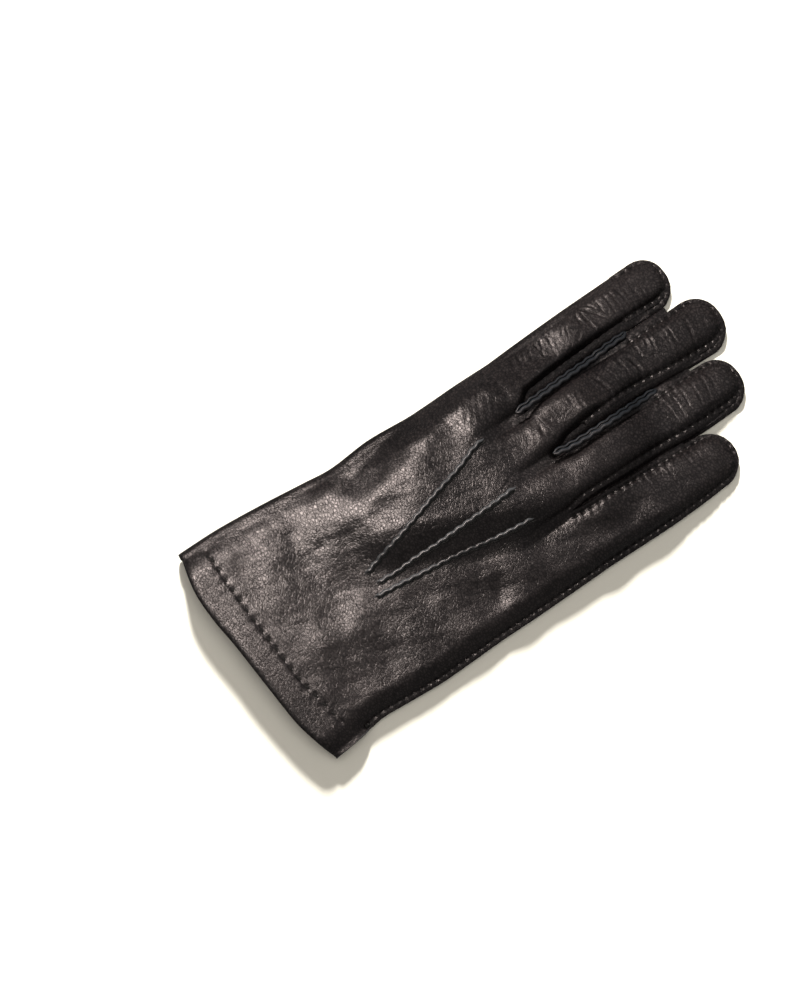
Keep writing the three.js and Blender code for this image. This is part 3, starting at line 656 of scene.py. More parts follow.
# Where a finger's edge turns down into a gap its stitches do not show: ends and reach.
# The first rows are right-hand edges, which also roll under.
ROLLED_UNDER = [(-26.2, 31.0, -27.4, 87.0, 3.4), (0.6, 33.0, -0.6, 46.0, 2.6)]
TURNED_DOWN = [(-22.2, 27.0, -21.4, 82.0, 4.2), (7.6, 33.0, 6.4, 76.0, 3.4)]


def shows(x, y, edges):
    """1 where a seam is seen from above, 0 near the edges given."""
    shown = np.ones(np.shape(x))
    for x0, y0, x1, y1, reach in edges:
        run = np.array([x1 - x0, y1 - y0])
        t = np.clip(((x + SHIFT[0] - x0) * run[0] + (y + SHIFT[1] - y0) * run[1]) / (run ** 2).sum(), 0, 1)
        away = np.hypot(x + SHIFT[0] - x0 - t * run[0], y + SHIFT[1] - y0 - t * run[1])
        shown = np.minimum(shown, soften((away - reach) / 2.0))
    return shown


def seam_relief(x, y, seams, pitches):
    """Rise of the leather along prick seams, and how far off the nearest seam is.

    Each lip rolls down, and each stitch pulls a pit with a small pucker on both sides."""
    nearest, wave, right = np.full(x.shape, np.inf), np.zeros(x.shape), np.zeros(x.shape)
    for line, pitch in zip(seams, pitches):
        low, high = line.min(0) - 8, line.max(0) + 8
        box = (x > low[0]) & (x < high[0]) & (y > low[1]) & (y < high[1])
        if not box.any():
            continue
        distance, travelled = along_line(x[box], y[box], line)
        closer = distance < nearest[box]
        nearest[box] = np.where(closer, distance, nearest[box])
        wave[box] = np.where(closer, np.cos(2 * np.pi * travelled / pitch), wave[box])
        before_tip = line[:int(line[:, 1].argmax()) + 1]
        tip_at = np.hypot(*np.diff(before_tip, axis=0).T).sum()
        right[box] = np.where(closer, soften((travelled - tip_at + 4) / 14), right[box])
    shown = shows(x, y, ROLLED_UNDER + TURNED_DOWN)
    wave = wave * shown
    pit = bump_at(nearest, 2.0, 0.7) * (0.5 - 0.5 * wave) ** 1.5 * shown
    rise = -0.26 * bump_at(nearest, 2.0, 0.8) * shown - 0.8 * pit
    rise += 0.1 * wave * bump_at(nearest, 0.5, 0.8) + 0.2 * wave * bump_at(nearest, 3.5, 1.1)
    rise -= (0.4 + 0.35 * right) * shown * soften(1 - nearest / 2.2)
    rise -= 2.8 * (1 - shows(x, y, ROLLED_UNDER)) * soften(1 - nearest / 3.8)
    return rise, nearest


def away_from_seams(nearest):
    """0 on a seam's lip and its stitches, and 1 from a few millimetres away."""
    return soften((nearest - 2.2) / 3.0)


def ripple(x, y, length, seed):
    """A slow unevenness with no direction, of about that wavelength, from -1 to 1."""
    dice = np.random.default_rng(seed)
    total = np.zeros(x.shape)
    for _ in range(7):
        turn, phase = dice.uniform(0, 2 * np.pi, 2)
        size = 2 * np.pi / (length * dice.uniform(0.7, 1.4))
        total += np.sin(size * (x * math.cos(turn) + y * math.sin(turn)) + phase)
    return total / 3.2


# One row a crease: its two ends, measured from the glove's middle, and its bow, width and depth
CREASES = [
    (-42.6, 53.0, -34.9, 53.0, 0.3, 0.50, 0.22), (-43.5, 56.4, -33.7, 52.4, 0.5, 0.50, 0.26),
    (-46.3, 42.3, -35.0, 38.1, 0.5, 0.60, 0.30), (-44.5, 44.4, -32.2, 41.3, 0.5, 0.55, 0.26),
    (-44.3, 47.5, -35.1, 43.4, 0.3, 0.50, 0.22), (-44.7, 63.1, -37.8, 58.2, 0.4, 0.50, 0.24),
    (-45.2, 67.9, -36.6, 64.4, 0.5, 0.50, 0.22), (-43.6, 29.9, -34.4, 28.9, 0.5, 0.70, 0.30),
    (-40.9, 35.2, -33.0, 34.0, 0.4, 0.60, 0.24), (-43.4, 50.2, -34.6, 47.2, 0.3, 0.45, 0.18),
    (-43.6, 59.2, -34.5, 58.2, 0.4, 0.45, 0.18), (-42.3, 68.8, -34.4, 66.0, 0.3, 0.45, 0.16),
    (-44.2, 76.8, -35.6, 75.9, -1.6, 0.60, 0.34), (-35.6, 75.9, -30.6, 68.3, -0.9, 0.60, 0.28),
    (-44.2, 76.8, -28.2, 87.5, 0.9, 0.50, 0.30), (-42.8, 77.5, -28.9, 79.2, -0.5, 0.50, 0.26),
    (-44.1, 80.6, -38.0, 84.0, 0.2, 0.45, 0.20), (-43.5, 89.6, -30.9, 89.5, 0.6, 0.45, 0.20),
    (-42.9, 92.5, -28.5, 92.2, 0.7, 0.42, 0.20), (-42.0, 95.7, -27.6, 96.5, 0.7, 0.42, 0.20),
    (-41.0, 98.6, -28.3, 98.7, 0.6, 0.42, 0.18), (-40.3, 101.4, -29.3, 102.4, 0.5, 0.42, 0.18),
    (-39.0, 105.7, -26.4, 103.7, 0.6, 0.42, 0.20), (-43.2, 85.5, -33.8, 85.5, 0.4, 0.42, 0.16),
    (-34.1, 75.7, -24.1, 77.4, 0.4, 0.45, 0.18), (-33.7, 81.0, -23.0, 82.2, 0.4, 0.45, 0.16),
    (-17.0, 63.5, -0.3, 67.4, 1.3, 0.70, 0.42), (-16.3, 55.1, -2.6, 53.3, -0.9, 0.55, 0.28),
    (-15.1, 81.6, -0.6, 83.4, 1.2, 0.70, 0.42), (-16.5, 77.6, -5.4, 78.3, 0.6, 0.50, 0.24),
    (-18.8, 93.4, -11.4, 92.2, 0.4, 0.50, 0.26), (-16.9, 95.6, -7.1, 93.3, 0.5, 0.50, 0.24),
    (-16.8, 101.6, -3.7, 100.0, 0.6, 0.42, 0.18), (-15.6, 104.1, -2.3, 102.3, 0.7, 0.45, 0.22),
    (-15.5, 112.8, 0.8, 108.7, 1.1, 0.60, 0.36), (-11.5, 119.2, -1.4, 118.0, 0.6, 0.55, 0.28),
    (-19.0, 109.4, -9.2, 107.8, 0.4, 0.42, 0.18), (-14.2, 116.9, -3.9, 115.1, 0.4, 0.42, 0.18),
    (-15.3, 71.2, -5.3, 72.9, 0.4, 0.45, 0.20), (-16.3, 49.7, -7.8, 49.3, 0.4, 0.45, 0.18),
    (-12.0, 33.4, -1.2, 33.0, -1.0, 0.70, 0.34), (-15.3, 40.2, -5.6, 40.0, 0.4, 0.50, 0.18),
    (-18.0, 87.5, -8.3, 87.3, 0.4, 0.42, 0.18), (-8.4, 122.8, -2.5, 121.8, 0.3, 0.42, 0.16),
    (7.9, 103.9, 23.6, 100.5, 0.8, 0.50, 0.28), (9.1, 98.1, 22.6, 96.5, 0.6, 0.45, 0.20),
    (8.8, 92.8, 21.3, 91.1, 0.6, 0.45, 0.20), (4.0, 92.3, 10.9, 91.9, 0.4, 0.50, 0.22),
    (15.2, 73.9, 25.3, 75.0, 0.5, 0.50, 0.20), (7.5, 83.2, 23.5, 83.7, 0.7, 0.42, 0.16),
    (8.0, 87.8, 22.6, 87.4, 0.6, 0.42, 0.16), (11.0, 106.7, 22.9, 104.9, 0.4, 0.42, 0.16),
    (2.4, 65.2, 13.7, 67.2, 0.5, 0.50, 0.16), (1.2, 72.8, 13.2, 74.2, 0.5, 0.45, 0.14),
    (32.6, 77.5, 39.5, 77.9, 0.3, 0.50, 0.20), (30.4, 67.5, 42.9, 68.0, 0.6, 0.45, 0.14),
    (29.6, 57.0, 42.3, 57.9, 0.6, 0.45, 0.14), (33.7, 82.9, 44.1, 82.1, 0.4, 0.45, 0.14),
    (29.5, 46.0, 41.0, 46.7, 0.5, 0.50, 0.12),
    (-44.5, 16.4, -26.6, 6.3, 0.5, 0.60, 0.20), (-42.8, 18.8, -23.9, 8.1, 0.5, 0.60, 0.22),
    (-39.6, 20.8, -24.9, 12.2, -0.4, 0.60, 0.22), (-35.6, 21.6, -25.3, 16.3, 0.3, 0.60, 0.22),
    (-44.6, 13.7, -28.7, 4.5, -0.4, 0.60, 0.18), (-36.1, 25.7, -25.5, 19.9, 0.3, 0.60, 0.18),
    (-42.0, -10.6, -32.2, -16.3, 0.4, 0.60, 0.20), (-41.4, -7.4, -28.2, -15.0, -0.4, 0.60, 0.22),
    (-38.5, -5.7, -29.6, -10.3, 0.3, 0.60, 0.18), (-38.7, -21.3, -30.0, -26.6, 0.3, 0.60, 0.18),
    (-36.1, -20.6, -25.2, -25.9, 0.4, 0.60, 0.18), (-2.1, 15.0, 2.4, 3.1, 0.5, 0.50, 0.20),
    (-14.1, 27.5, -5.6, 23.6, 0.4, 0.60, 0.20), (-14.5, 31.7, -5.4, 27.4, 0.4, 0.60, 0.20),
    (-10.2, 33.0, -2.1, 28.5, 0.3, 0.60, 0.18), (-43.7, 8.9, -31.2, 3.4, 0.4, 0.60, 0.14),
    (-43.5, 4.4, -33.2, 0.5, 0.4, 0.60, 0.14),
    (-11.0, 32.0, 4.0, 35.5, 1.0, 1.3, 0.3), (-40.0, 24.0, -28.0, 30.0, 1.5, 1.6, 0.4),
    (-44.0, -30.0, -30.0, -38.0, 1.5, 2.4, 0.4), (-36.0, -66.0, -20.0, -74.0, 1.5, 2.6, 0.4),
    (28.0, -16.0, 42.0, -26.0, 1.0, 2.4, 0.4)]

# One row a soft swelling, or a hollow where it is below nought: place, radius, height
SWELLINGS = [
    (-34.0, 22.5, 6.5, 1.1), (-22.6, 12.0, 8.0, 1.9), (-3.2, 54.4, 6.0, 1.7), (-5.5, 31.0, 5.5, 0.9),
    (-13.0, 72.5, 6.0, 0.5), (-27.6, 51.0, 6.0, 1.5), (-18.0, -61.0, 10.0, -1.3), (-2.5, -73.0, 7.0, -0.8),
    (4.0, -83.0, 8.0, -0.8), (9.0, -93.0, 8.0, 0.6), (16.0, 40.0, 6.0, 0.4), (-1.0, -40.0, 9.0, 0.4),
    (-33.3, -8.6, 6.0, 0.15), (-24.2, -25.0, 6.0, 0.1), (-19.5, -39.6, 7.0, -1.5), (34.5, -2.5, 6.0, 0.8),
    (38.0, -20.0, 6.0, -0.8), (-31.0, 2.0, 5.0, -0.5), (-36.0, -45.0, 6.0, -0.6), (20.0, -50.0, 7.0, -0.5),
    (33.0, -60.0, 7.0, 0.5)]


def crease_relief(x, y):
    rise = np.zeros(x.shape)
    for x0, y0, x1, y1, bow, width, depth in CREASES:
        run = np.array([x1 - x0, y1 - y0])
        length = math.hypot(*run)
        run = run / length
        along = ((x - x0) * run[0] + (y - y0) * run[1]) / length
        away = (y - y0) * run[0] - (x - x0) * run[1] - bow * 4 * along * (1 - along)
        fade = soften(along / 0.22) * soften((1 - along) / 0.22)
        rise += depth * fade * (0.45 * bump_at(np.abs(away), 2.2 * width, width) - bump_at(away, 0, width))
    for x0, y0, radius, height in SWELLINGS:
        rise += height * np.exp(-((x - x0) ** 2 + (y - y0) ** 2) / radius ** 2)
    return rise


HEM_LINE = np.array([(-50.5, -114.1), (-39.1, -114.6), (-27.3, -114.5), (-14.1, -114.6), (-2.6, -114.3),
                     (11.9, -113.7), (21.8, -113.2), (33.7, -110.9), (45.3, -109.2)]) + TO_PLAN
HEM_PITCH = 5.2


def hem_relief(x, y):
    near = y < HEM_LINE[:, 1].max() + 6
    rise = np.zeros(x.shape)
    distance, travelled = along_line(x[near], y[near], HEM_LINE)
    wave = np.cos(2 * np.pi * travelled / HEM_PITCH)
    rise[near] = -0.3 * bump_at(distance, 0, 1.1) - 0.65 * bump_at(distance, 0, 0.65) * (0.5 - 0.5 * wave)
    rise[near] += 0.1 * wave * bump_at(distance, 1.6, 1.0)
    return rise


def softened_by_hem(y_here):
    """0 on the hem, whose two layers lie stiff and smooth, and 1 from a centimetre above it."""
    return soften((y_here + 115.0) / 10.0)


def back_relief(x, y):
    rise, nearest = seam_relief(x, y, SEAMS, PITCHES)
    free = away_from_seams(nearest)
    x_here, y_here = x + SHIFT[0], y + SHIFT[1]
    rise += free * crease_relief(x_here, y_here)
    calm = 0.3 + 0.7 * softened_by_hem(y_here)
    for amount, length, seed in ((0.42, 34, 3), (0.17, 16, 5), (0.07, 6, 8), (0.03, 3, 9)):
        rise += free * calm * amount * ripple(x, y, length, seed)
    return rise + hem_relief(x, y)


print(len(CREASES), "creases")

# %% [markdown]
# The back of the glove is one piece of leather with its four finger backs. It is
# cut as a hand and four fingers that share their edges, and the shared edges are
# welded. On the index side it folds over in a half turn, with no seam.
# %% The back


def with_fold(x, y, left, radius, height, wall, under, drop=0.0):
    """A sheet with the columns of the index side's fold before its own: over it, or under it."""
    end = (np.pi - np.arcsin(np.minimum(1, (CLEARANCE + wall / 3) / radius)))[:, None]
    if under:
        turns = mix(end, np.pi, np.linspace(0, 1, 4, endpoint=False)[None, :])
    else:
        turns = end * np.linspace(1, 0, 9, endpoint=False)[None, :]
    fold_x = left[:, None] + radius[:, None] * (1 - np.sin(turns))
    fold_y = np.repeat(y[:, :1], turns.shape[1], 1)
    fold_z = radius[:, None] * (1 + np.cos(turns)) + lift(fold_x, fold_y)
    fold_z = fold_z - np.broadcast_to(drop, len(x))[:, None] * (1 + np.cos(turns)) / 2
    return np.concatenate([np.stack([fold_x, fold_y, fold_z], 2), np.stack([x, y, height], 2)], 1)


def trank_half(name, hand, hand_height, fingers, finger_heights, under, drop=0.0):
    """The back or the palm as one sheet: the hand and four fingers, with the fold's columns."""
    radius = np.full(len(hand["x"]), float(fold_radius(0.0)))
    wall = wall_along(hand["along"][:, 0])
    sheets = [grid_sheet("hand", with_fold(
        hand["x"], hand["y"], hand["left"], radius, hand_height, wall, under, drop))]
    for part, height in zip(fingers, finger_heights):
        x, y = part["x"], part["y"]
        folded = np.count_nonzero(part["inset"] > 0)
        if folded:
            radius = part["inset"][:folded]
            sheets.append(grid_sheet("finger", with_fold(
                x[:folded], y[:folded], x[:folded, 0] - radius, radius, height[:folded],
                np.full(folded, LEATHER), under)))
        sheets.append(grid_sheet("finger", np.stack([x, y, height], 2)[max(folded - 1, 0):]))
    return merged(sheets, name)


def top_of_hand(hand):
    height = np.zeros(hand["x"].shape)
    for index in range(4):
        own = hand["owner"] == index
        height[own] = hand_top(index, hand["within"][own], hand["across"][own], hand["along"][own])
    return height + lift(hand["x"], hand["y"])


def wall_along(along):
    return np.where(along < HEM_SHARE + 0.003, HEM_WALL, LEATHER)


def thickened(sheet, hem_line):
    """Gives the sheet the wall of leather, and twice that where the hem is turned in."""
    group = sheet.vertex_groups.new(name="wall")
    places = points_of(sheet.data)[:, :2] / MM - SHIFT
    turned_in = places[:, 1] < np.interp(places[:, 0], hem_line[:, 0], hem_line[:, 1])
    group.add(np.nonzero(turned_in)[0].tolist(), 1.0, "REPLACE")
    group.add(np.nonzero(~turned_in)[0].tolist(), LEATHER / HEM_WALL, "REPLACE")
    add_wall(sheet, HEM_WALL).vertex_group = "wall"
    apply_all(sheet)
    sheet.vertex_groups.clear()


def beside_fold(x):
    """0 at the first column, which joins the fold, and 1 from three millimetres on."""
    return soften((x - x[:, :1]) / 3.0)


hand_height = top_of_hand(back_hand)
hand_height += beside_fold(back_hand["x"]) * back_relief(back_hand["x"], back_hand["y"])
edge_round = np.clip(1 - back_hand["along"] * HAND_LENGTH / 4.0, 0, 1)
edge_drop = 1.1 * edge_round ** 2 + 0.5 * np.clip(edge_round / 0.3 - 7 / 3, 0, 1) ** 2
hand_height -= edge_drop
finger_heights = []
for index, part in enumerate(back_fingers):
    relief = back_relief(part["x"], part["y"])
    folded = part["inset"] > 0
    relief[folded] *= beside_fold(part["x"][folded])
    height = lift(part["x"], part["y"]) + relief
    for row in range(len(height)):
        height[row] += finger_top(index, part["within"][row], part["along"][row], part["tip"][row])
    finger_heights.append(height)
back = trank_half(
    "back_leather", back_hand, hand_height, back_fingers, finger_heights, False, edge_drop[:, 0])
faces = back.data.polygons
if faces[0].normal.z < 0 and faces[len(faces) // 2].normal.z < 0:
    flip(back)
print("back sheet", len(back.data.polygons), "faces")
back_surface = surface_of(back)
hem_edge = np.stack([back_hand["x"][0], back_hand["y"][0] + HEM_DEPTH + 0.6], 1)
thickened(back, hem_edge)
finished(back, nappa, ["back"])

# %% [markdown]
# The palm is the other half of the same skin. It starts where the back's fold ends,
# carries on round it without a seam, and has two cuts: the hole that the thumb is
# sewn into and the slit of the wrist vent. Both are cut as scissors cut them: the
# faces inside the outline are deleted and the rim is pulled onto the outline.
# %% The palm


def seam_curl(within):
    return SEAM_RISE * soften((within - 0.62) / 0.28)


VENT_LENGTH, VENT_OPENING, BINDING_WALL, VENT_PLACE = 41.0, 5.0, 2.6, -0.04


def vent_outline(margin, corner_y, steps=24):
    half = VENT_OPENING / 2 + margin
    middle, top = PALM_WIDTH * VENT_PLACE, VENT_LENGTH - VENT_OPENING / 2
    turn = np.linspace(0, np.pi, steps + 1)
    arc = np.stack([middle + half * np.cos(turn), top + half * np.sin(turn)], 1)
    return np.concatenate([[(middle + half, corner_y)], arc, [(middle - half, corner_y)]])


def palm_relief(x, y):
    rise, nearest = seam_relief(x, y, PALM_SEAMS, PITCHES)
    free = away_from_seams(nearest)
    slow = 0.5 + 0.5 * ripple(x, y, 26, 13) + 0.12 * ripple(x, y, 5, 14)
    pressed = np.clip(-rise, 0, 0.9) * soften(nearest / 1.2) + np.clip(-hem_relief(x, y), 0, 0.6)
    beside_vent = distance_outside(x, y, vent_outline(BINDING_WALL, -CUFF_SLANT))
    return pressed + 0.45 * free * np.clip(slow, 0, 1.4) + 0.7 * soften(1 - beside_vent / 2.0)


palm_hand, palm_fingers = glove_plan(False, lip_step=0.55, step=1.25, hand_step=1.4, row_step=1.25)
PALM_SEAMS = seam_lines(palm_hand, palm_fingers)
palm_height = lift(palm_hand["x"], palm_hand["y"]) + palm_relief(palm_hand["x"], palm_hand["y"])
palm_height += np.where(palm_hand["owner"] == 3, seam_curl(palm_hand["within"]), 0.0)
finger_heights = []
for index, part in enumerate(palm_fingers):
    closing = soften((part["along"] - CLOSE_SHARE) / (1 - CLOSE_SHARE))
    curl = np.zeros(part["x"].shape)
    if index == 3:
        curl = seam_curl(part["within"]) * mix(1, TIP_RISE / SEAM_RISE, closing)
    height = lift(part["x"], part["y"]) + palm_relief(part["x"], part["y"])
    finger_heights.append(height + mix(curl, TIP_RISE, soften(part["tip"] / TIP_LIP)))
palm = trank_half("palm_leather", palm_hand, palm_height, palm_fingers, finger_heights, True)
if palm.data.polygons[0].normal.z > 0:
    flip(palm)
palm_surface = surface_of(palm)
palm_hem_edge = np.stack([palm_hand["x"][0], palm_hand["y"][0] + HEM_DEPTH + 0.6], 1)


def inside_of_outline(x, y, outline):
    return distance_outside(np.asarray(x), np.asarray(y), outline) == 0


RIM_PULL = 1.2


def cut_out(sheet, outline):
    """Deletes the faces inside an outline on the plan, and pulls the rim left onto the outline."""
    only(sheet)
    centres = np.array([face.center for face in sheet.data.polygons])[:, :2] / MM - SHIFT
    gone = inside_of_outline(centres[:, 0], centres[:, 1], outline)
    bpy.ops.object.mode_set(mode="EDIT")
    bpy.ops.mesh.select_all(action="DESELECT")
    bpy.ops.object.mode_set(mode="OBJECT")
    rim = {v for face, out in zip(sheet.data.polygons, gone) if out for v in face.vertices}
    rim &= {v for face, out in zip(sheet.data.polygons, gone) if not out for v in face.vertices}
    places = points_of(sheet.data)
    ring = np.concatenate([outline, outline[:1]])
    for v in rim:
        here = places[v, :2] / MM - SHIFT
        starts, runs = ring[:-1], np.diff(ring, axis=0)
        share = np.clip(((here - starts) * runs).sum(1) / (runs ** 2).sum(1), 0, 1)
        nearest = starts + runs * share[:, None]
        best = nearest[np.argmin(np.hypot(*(nearest - here).T))]
        if np.hypot(*(best - here)) < RIM_PULL:
            places[v, :2] = (best + SHIFT) * MM
    sheet.data.vertices.foreach_set("co", places.ravel())
    for face, out in zip(sheet.data.polygons, gone):
        face.select = bool(out)
    bpy.ops.object.mode_set(mode="EDIT")
    bpy.ops.mesh.select_mode(type="FACE")
    bpy.ops.mesh.delete(type="FACE")
    bpy.ops.object.mode_set(mode="OBJECT")
    print("cut", int(gone.sum()), "faces out of", sheet.name)


hole_steps = np.linspace(0.04, 0.58, 28)
ground_x, hole_y = thumb_plan(hole_steps, "ground")
palm_x, _ = thumb_plan(hole_steps, "palm")
hole = np.concatenate([np.stack([ground_x + LIP, hole_y], 1), np.stack([palm_x + LIP, hole_y], 1)[::-1]])
cut_out(palm, hole)
vent_cut = vent_outline(BINDING_WALL * 0.55, -CUFF_SLANT)
cut_out(palm, vent_cut)
thickened(palm, palm_hem_edge)
finished(palm, nappa, ["palm"])

# %% [markdown]
# The fourchettes are the narrow strips between the fingers. Each runs down the side
# of one finger, round the crotch and up the next, and its long edges are turned out
# into the seams, so across the strip it has the shape of a shallow letter C.
# %% The fourchettes


def finger_edge(index, side, share, is_back):
    """A place on the edge of a finger's back or palm: in plan, and its height over the ground."""
    part = (back_fingers if is_back else palm_fingers)[index]
    column = -1 if side == "right" else 0
    straight = part["tip"][:, 0] == 0
    along = part["along"][straight, 0]
    x = np.interp(share, along, part["x"][straight, column])
    y = np.interp(share, along, part["y"][straight, column])
    at = np.array([x]), np.array([y])
    if is_back:
        within = 1.0 if side == "right" else 0.0
        height = float(finger_top(index, within, np.array(share), 0.0))
    else:
        height = 0.0
    return float(x), float(y), float(lift(*at)[0]) + height


LIMB_STATIONS, CROTCH_STATIONS, STRIP_ROWS = 92, 13, 15


def strip_station(top, bottom, turn, wave, bulge):
    """The shape across a strip, from the back's lip to the palm's lip, on the side of the gap."""
    room = top[2] - bottom[2] - 2 * (LEATHER + CLEARANCE)
    if room < 1.0:
        return None
    inward = np.array([math.cos(turn), math.sin(turn)])
    wall = min(LEATHER, room / 2.5)
    over, under = top[2] - LEATHER - CLEARANCE - 0.4 * wall, bottom[2] + LEATHER + CLEARANCE + 0.4 * wall
    row = []
    for share in np.linspace(0, 1, STRIP_ROWS):
        edge = [mix(top[i], bottom[i], share) for i in range(2)]
        hollow = LIP * (1 - soften(min(share, 1 - share) / 0.12)) * 0.5
        depth = 0.3 + hollow - (bulge + 0.3) * math.sin(math.pi * share) ** 0.8
        depth += 0.15 * wave * (1 - math.sin(math.pi * share))
        row.append((edge[0] + inward[0] * depth, edge[1] + inward[1] * depth, mix(over, under, share)))
    return row


for index, name in enumerate(("index_middle", "middle_ring", "ring_little")):
    stations = []
    reach = 0.0
    shares = np.linspace(1, 0, LIMB_STATIONS)
    edges = [(finger_edge(index, "right", s, True), finger_edge(index, "right", s, False), math.pi)
             for s in shares]
    crotch = edges[-1]
    edges += [(crotch[0], crotch[1], turn * math.pi) for turn in np.linspace(1.07, 1.93, CROTCH_STATIONS)]
    edges += [(finger_edge(index + 1, "left", s, True), finger_edge(index + 1, "left", s, False), 0.0)
              for s in shares[::-1]]
    left_xs = np.array([edge[0] for edge in edges[:len(shares)]])
    right_xs = np.array([edge[0] for edge in edges[-len(shares):]])
    for step, (top, bottom, turn) in enumerate(edges):
        if step:
            reach += math.hypot(top[0] - edges[step - 1][0][0], top[1] - edges[step - 1][0][1])
        other = right_xs if step < len(shares) else left_xs
        order = np.argsort(other[:, 1])
        gap = abs(np.interp(top[1], other[order, 1], other[order, 0]) - top[0])
        spread = abs(bottom[0] - top[0])
        bulge = np.clip(gap / 2 - spread / 2 + 0.1, 0.0, 2.6)
        if abs(turn - math.pi) > 0.01 and turn != 0.0:
            bulge = 0.0
        row = strip_station(top, bottom, turn, math.cos(2 * math.pi * reach / STITCH_PITCH), float(bulge))
        if row:
            stations.append(row)
    strip = merged([grid_sheet("fourchette", np.array(stations))], f"fourchette_{name}_leather")
    add_wall(strip, STRIP_WALL)
    left_limb = crotch[0][0] - 1.2
    faces_gap = np.mean([f.normal.x for f in strip.data.polygons if f.center.x / MM - SHIFT[0] < left_limb])
    if faces_gap < 0:
        flip(strip)
    apply_all(strip)
    finished(strip, nappa, ["fourchette_" + name])

# %% [markdown]
# The thumb is one piece folded along its inner side. Its ground side and its palm
# side meet in a prick seam on the outer side and round the tip, and its base opens
# into the palm's hole, where its edge is turned in and sewn.
# %% The thumb


def thumb_row(along, tip, shares, angles):
    radius = THUMB_FOLD / 2
    ground, palm_side, right = (thumb_plan(along, name) for name in ("ground", "palm", "right"))
    sewn = float(soften((along - THUMB_CROTCH + 0.06) / 0.12))
    top = THUMB_HEIGHT * float(lookup(THUMB_SIDES, along, "height"))
    tip_close = math.sqrt(1 - min(1, tip / TIP_LIP) ** 2)
    tip_edge = TIP_RISE + 2 * LEATHER + CLEARANCE
    turn_radius = mix(tip_edge / 2, min(radius, top / 2), tip_close)
    sag = THUMB_LENGTH * THUMB_DIP * float(soften(1 - along / 0.1))

    def on(left, within):
        span = right[0] - turn_radius - left[0]
        if tip == 0:
            return left[0] + span * within, left[1] + 0 * within
        tip_x, tip_y = round_tip(within, tip)
        return left[0] + span * (1 + tip_x) / 2, left[1] + THUMB_LENGTH * (1 - THUMB_STRAIGHT) * tip_y

    x, y = on(ground, shares)
    curl = TIP_RISE * np.maximum(sewn * soften(1 - shares / 0.25),
                                 soften(tip / TIP_LIP) * soften((1 - shares) / 0.2))
    low = np.stack([x, y - sag * np.sin(np.pi * shares), curl], 1)
    corner_x, corner_y = on(palm_side, np.array([1.0]))
    turn = np.stack([corner_x + turn_radius * np.sin(angles), corner_y + 0 * angles,
                     turn_radius * (1 + np.cos(angles))], 1)
    back_shares = shares[::-1]
    x, y = on(palm_side, back_shares)
    edge = mix(mix(top, tip_edge, sewn), 2 * turn_radius, back_shares)
    side = np.clip((back_shares - 0.09) / 0.91, 0, 1)
    dome = mix(ease(side / 0.35), 1, 1 - sewn) * ease((1 - back_shares) / 0.3) * tip_close
    high = np.stack([x, y, edge + (top - edge) * dome], 1)
    return np.concatenate([low, turn, high])


shares = np.array(spaced(0, 0.09, 0.02) + spaced(0.09, 1, 0.032) + [1.0])
angles = np.linspace(2.85, 0.3, 8)
THUMB_ROWS = 84
thumb_rows = [thumb_row(share, 0.0, shares, angles) for share in np.linspace(0, THUMB_STRAIGHT, THUMB_ROWS)]
thumb_rows += [thumb_row(THUMB_STRAIGHT, tip, shares, angles) for tip in np.linspace(0, 1, 17)[1:]]
thumb_places = np.array(thumb_rows)
low_side = len(shares)
edge_line = thumb_places[:, 0, :2]
tip_line = thumb_places[-1, :low_side, :2]
first_sewn = int(THUMB_CROTCH / THUMB_STRAIGHT * (THUMB_ROWS - 1))
THUMB_SEAM = np.concatenate([edge_line[first_sewn:], tip_line[1:]])
x, y = thumb_places[:, :, 0], thumb_places[:, :, 1]
rise, nearest = seam_relief(x, y, [THUMB_SEAM], [STITCH_PITCH])
slow = 0.5 + 0.5 * ripple(x, y, 22, 21) + 0.15 * ripple(x, y, 6, 22)
free = away_from_seams(nearest)
thumb_places[:, :low_side, 2] += (np.maximum(0, -rise) + 0.4 * free * np.clip(slow, 0, 1.4))[:, :low_side]
thumb_places[:, low_side + 8:, 2] += rise[:, low_side + 8:] * 0.5
thumb = merged([grid_sheet("thumb", thumb_places)], "thumb_leather")
if np.mean([f.normal.z * (f.center.z / MM - 4.0) for f in thumb.data.polygons]) < 0:
    flip(thumb)
thumb_surface = surface_of(thumb)
add_wall(thumb, LEATHER)
apply_all(thumb)
above_ground = points_of(thumb.data)
above_ground[:, 2] = np.maximum(above_ground[:, 2], GROUND_GAP * MM)
thumb.data.vertices.foreach_set("co", above_ground.ravel())
finished(thumb, nappa, ["thumb"])

# %% [markdown]
# The vent's raw edge is bound with a narrow strip of leather, rolled over it. It is
# a round bar bent into a long U, and a fine seam runs just outside it.
# %% The rolled binding of the vent


def rolled_bar(route, radius, sides, flatten=1.0):
    """Rings of a round bar along a route of places in millimetres, with their last side closed."""
    route = np.asarray(route, float)
    run = np.gradient(route, axis=0)
    run /= np.linalg.norm(run, axis=1)[:, None]
    out = np.stack([-run[:, 1], run[:, 0], 0 * run[:, 0]], 1)
    out /= np.linalg.norm(out, axis=1)[:, None]
    up = np.cross(run, out)
    turn = np.linspace(0, 2 * np.pi, sides + 1)
    radius = np.broadcast_to(radius, len(route))[:, None, None]
    return route[:, None, :] + radius * (np.cos(turn)[None, :, None] * out[:, None, :]
                                         + flatten * np.sin(turn)[None, :, None] * up[:, None, :])


def smooth_route(places, step):
    """The same line with a place every step."""
    places = np.asarray(places, float)
    reach = reach_along(places)
    count = max(2, int(round(reach[-1] / step)))
    at = np.linspace(0, reach[-1], count + 1)
    return np.stack([np.interp(at, reach, places[:, k]) for k in range(places.shape[1])], 1)


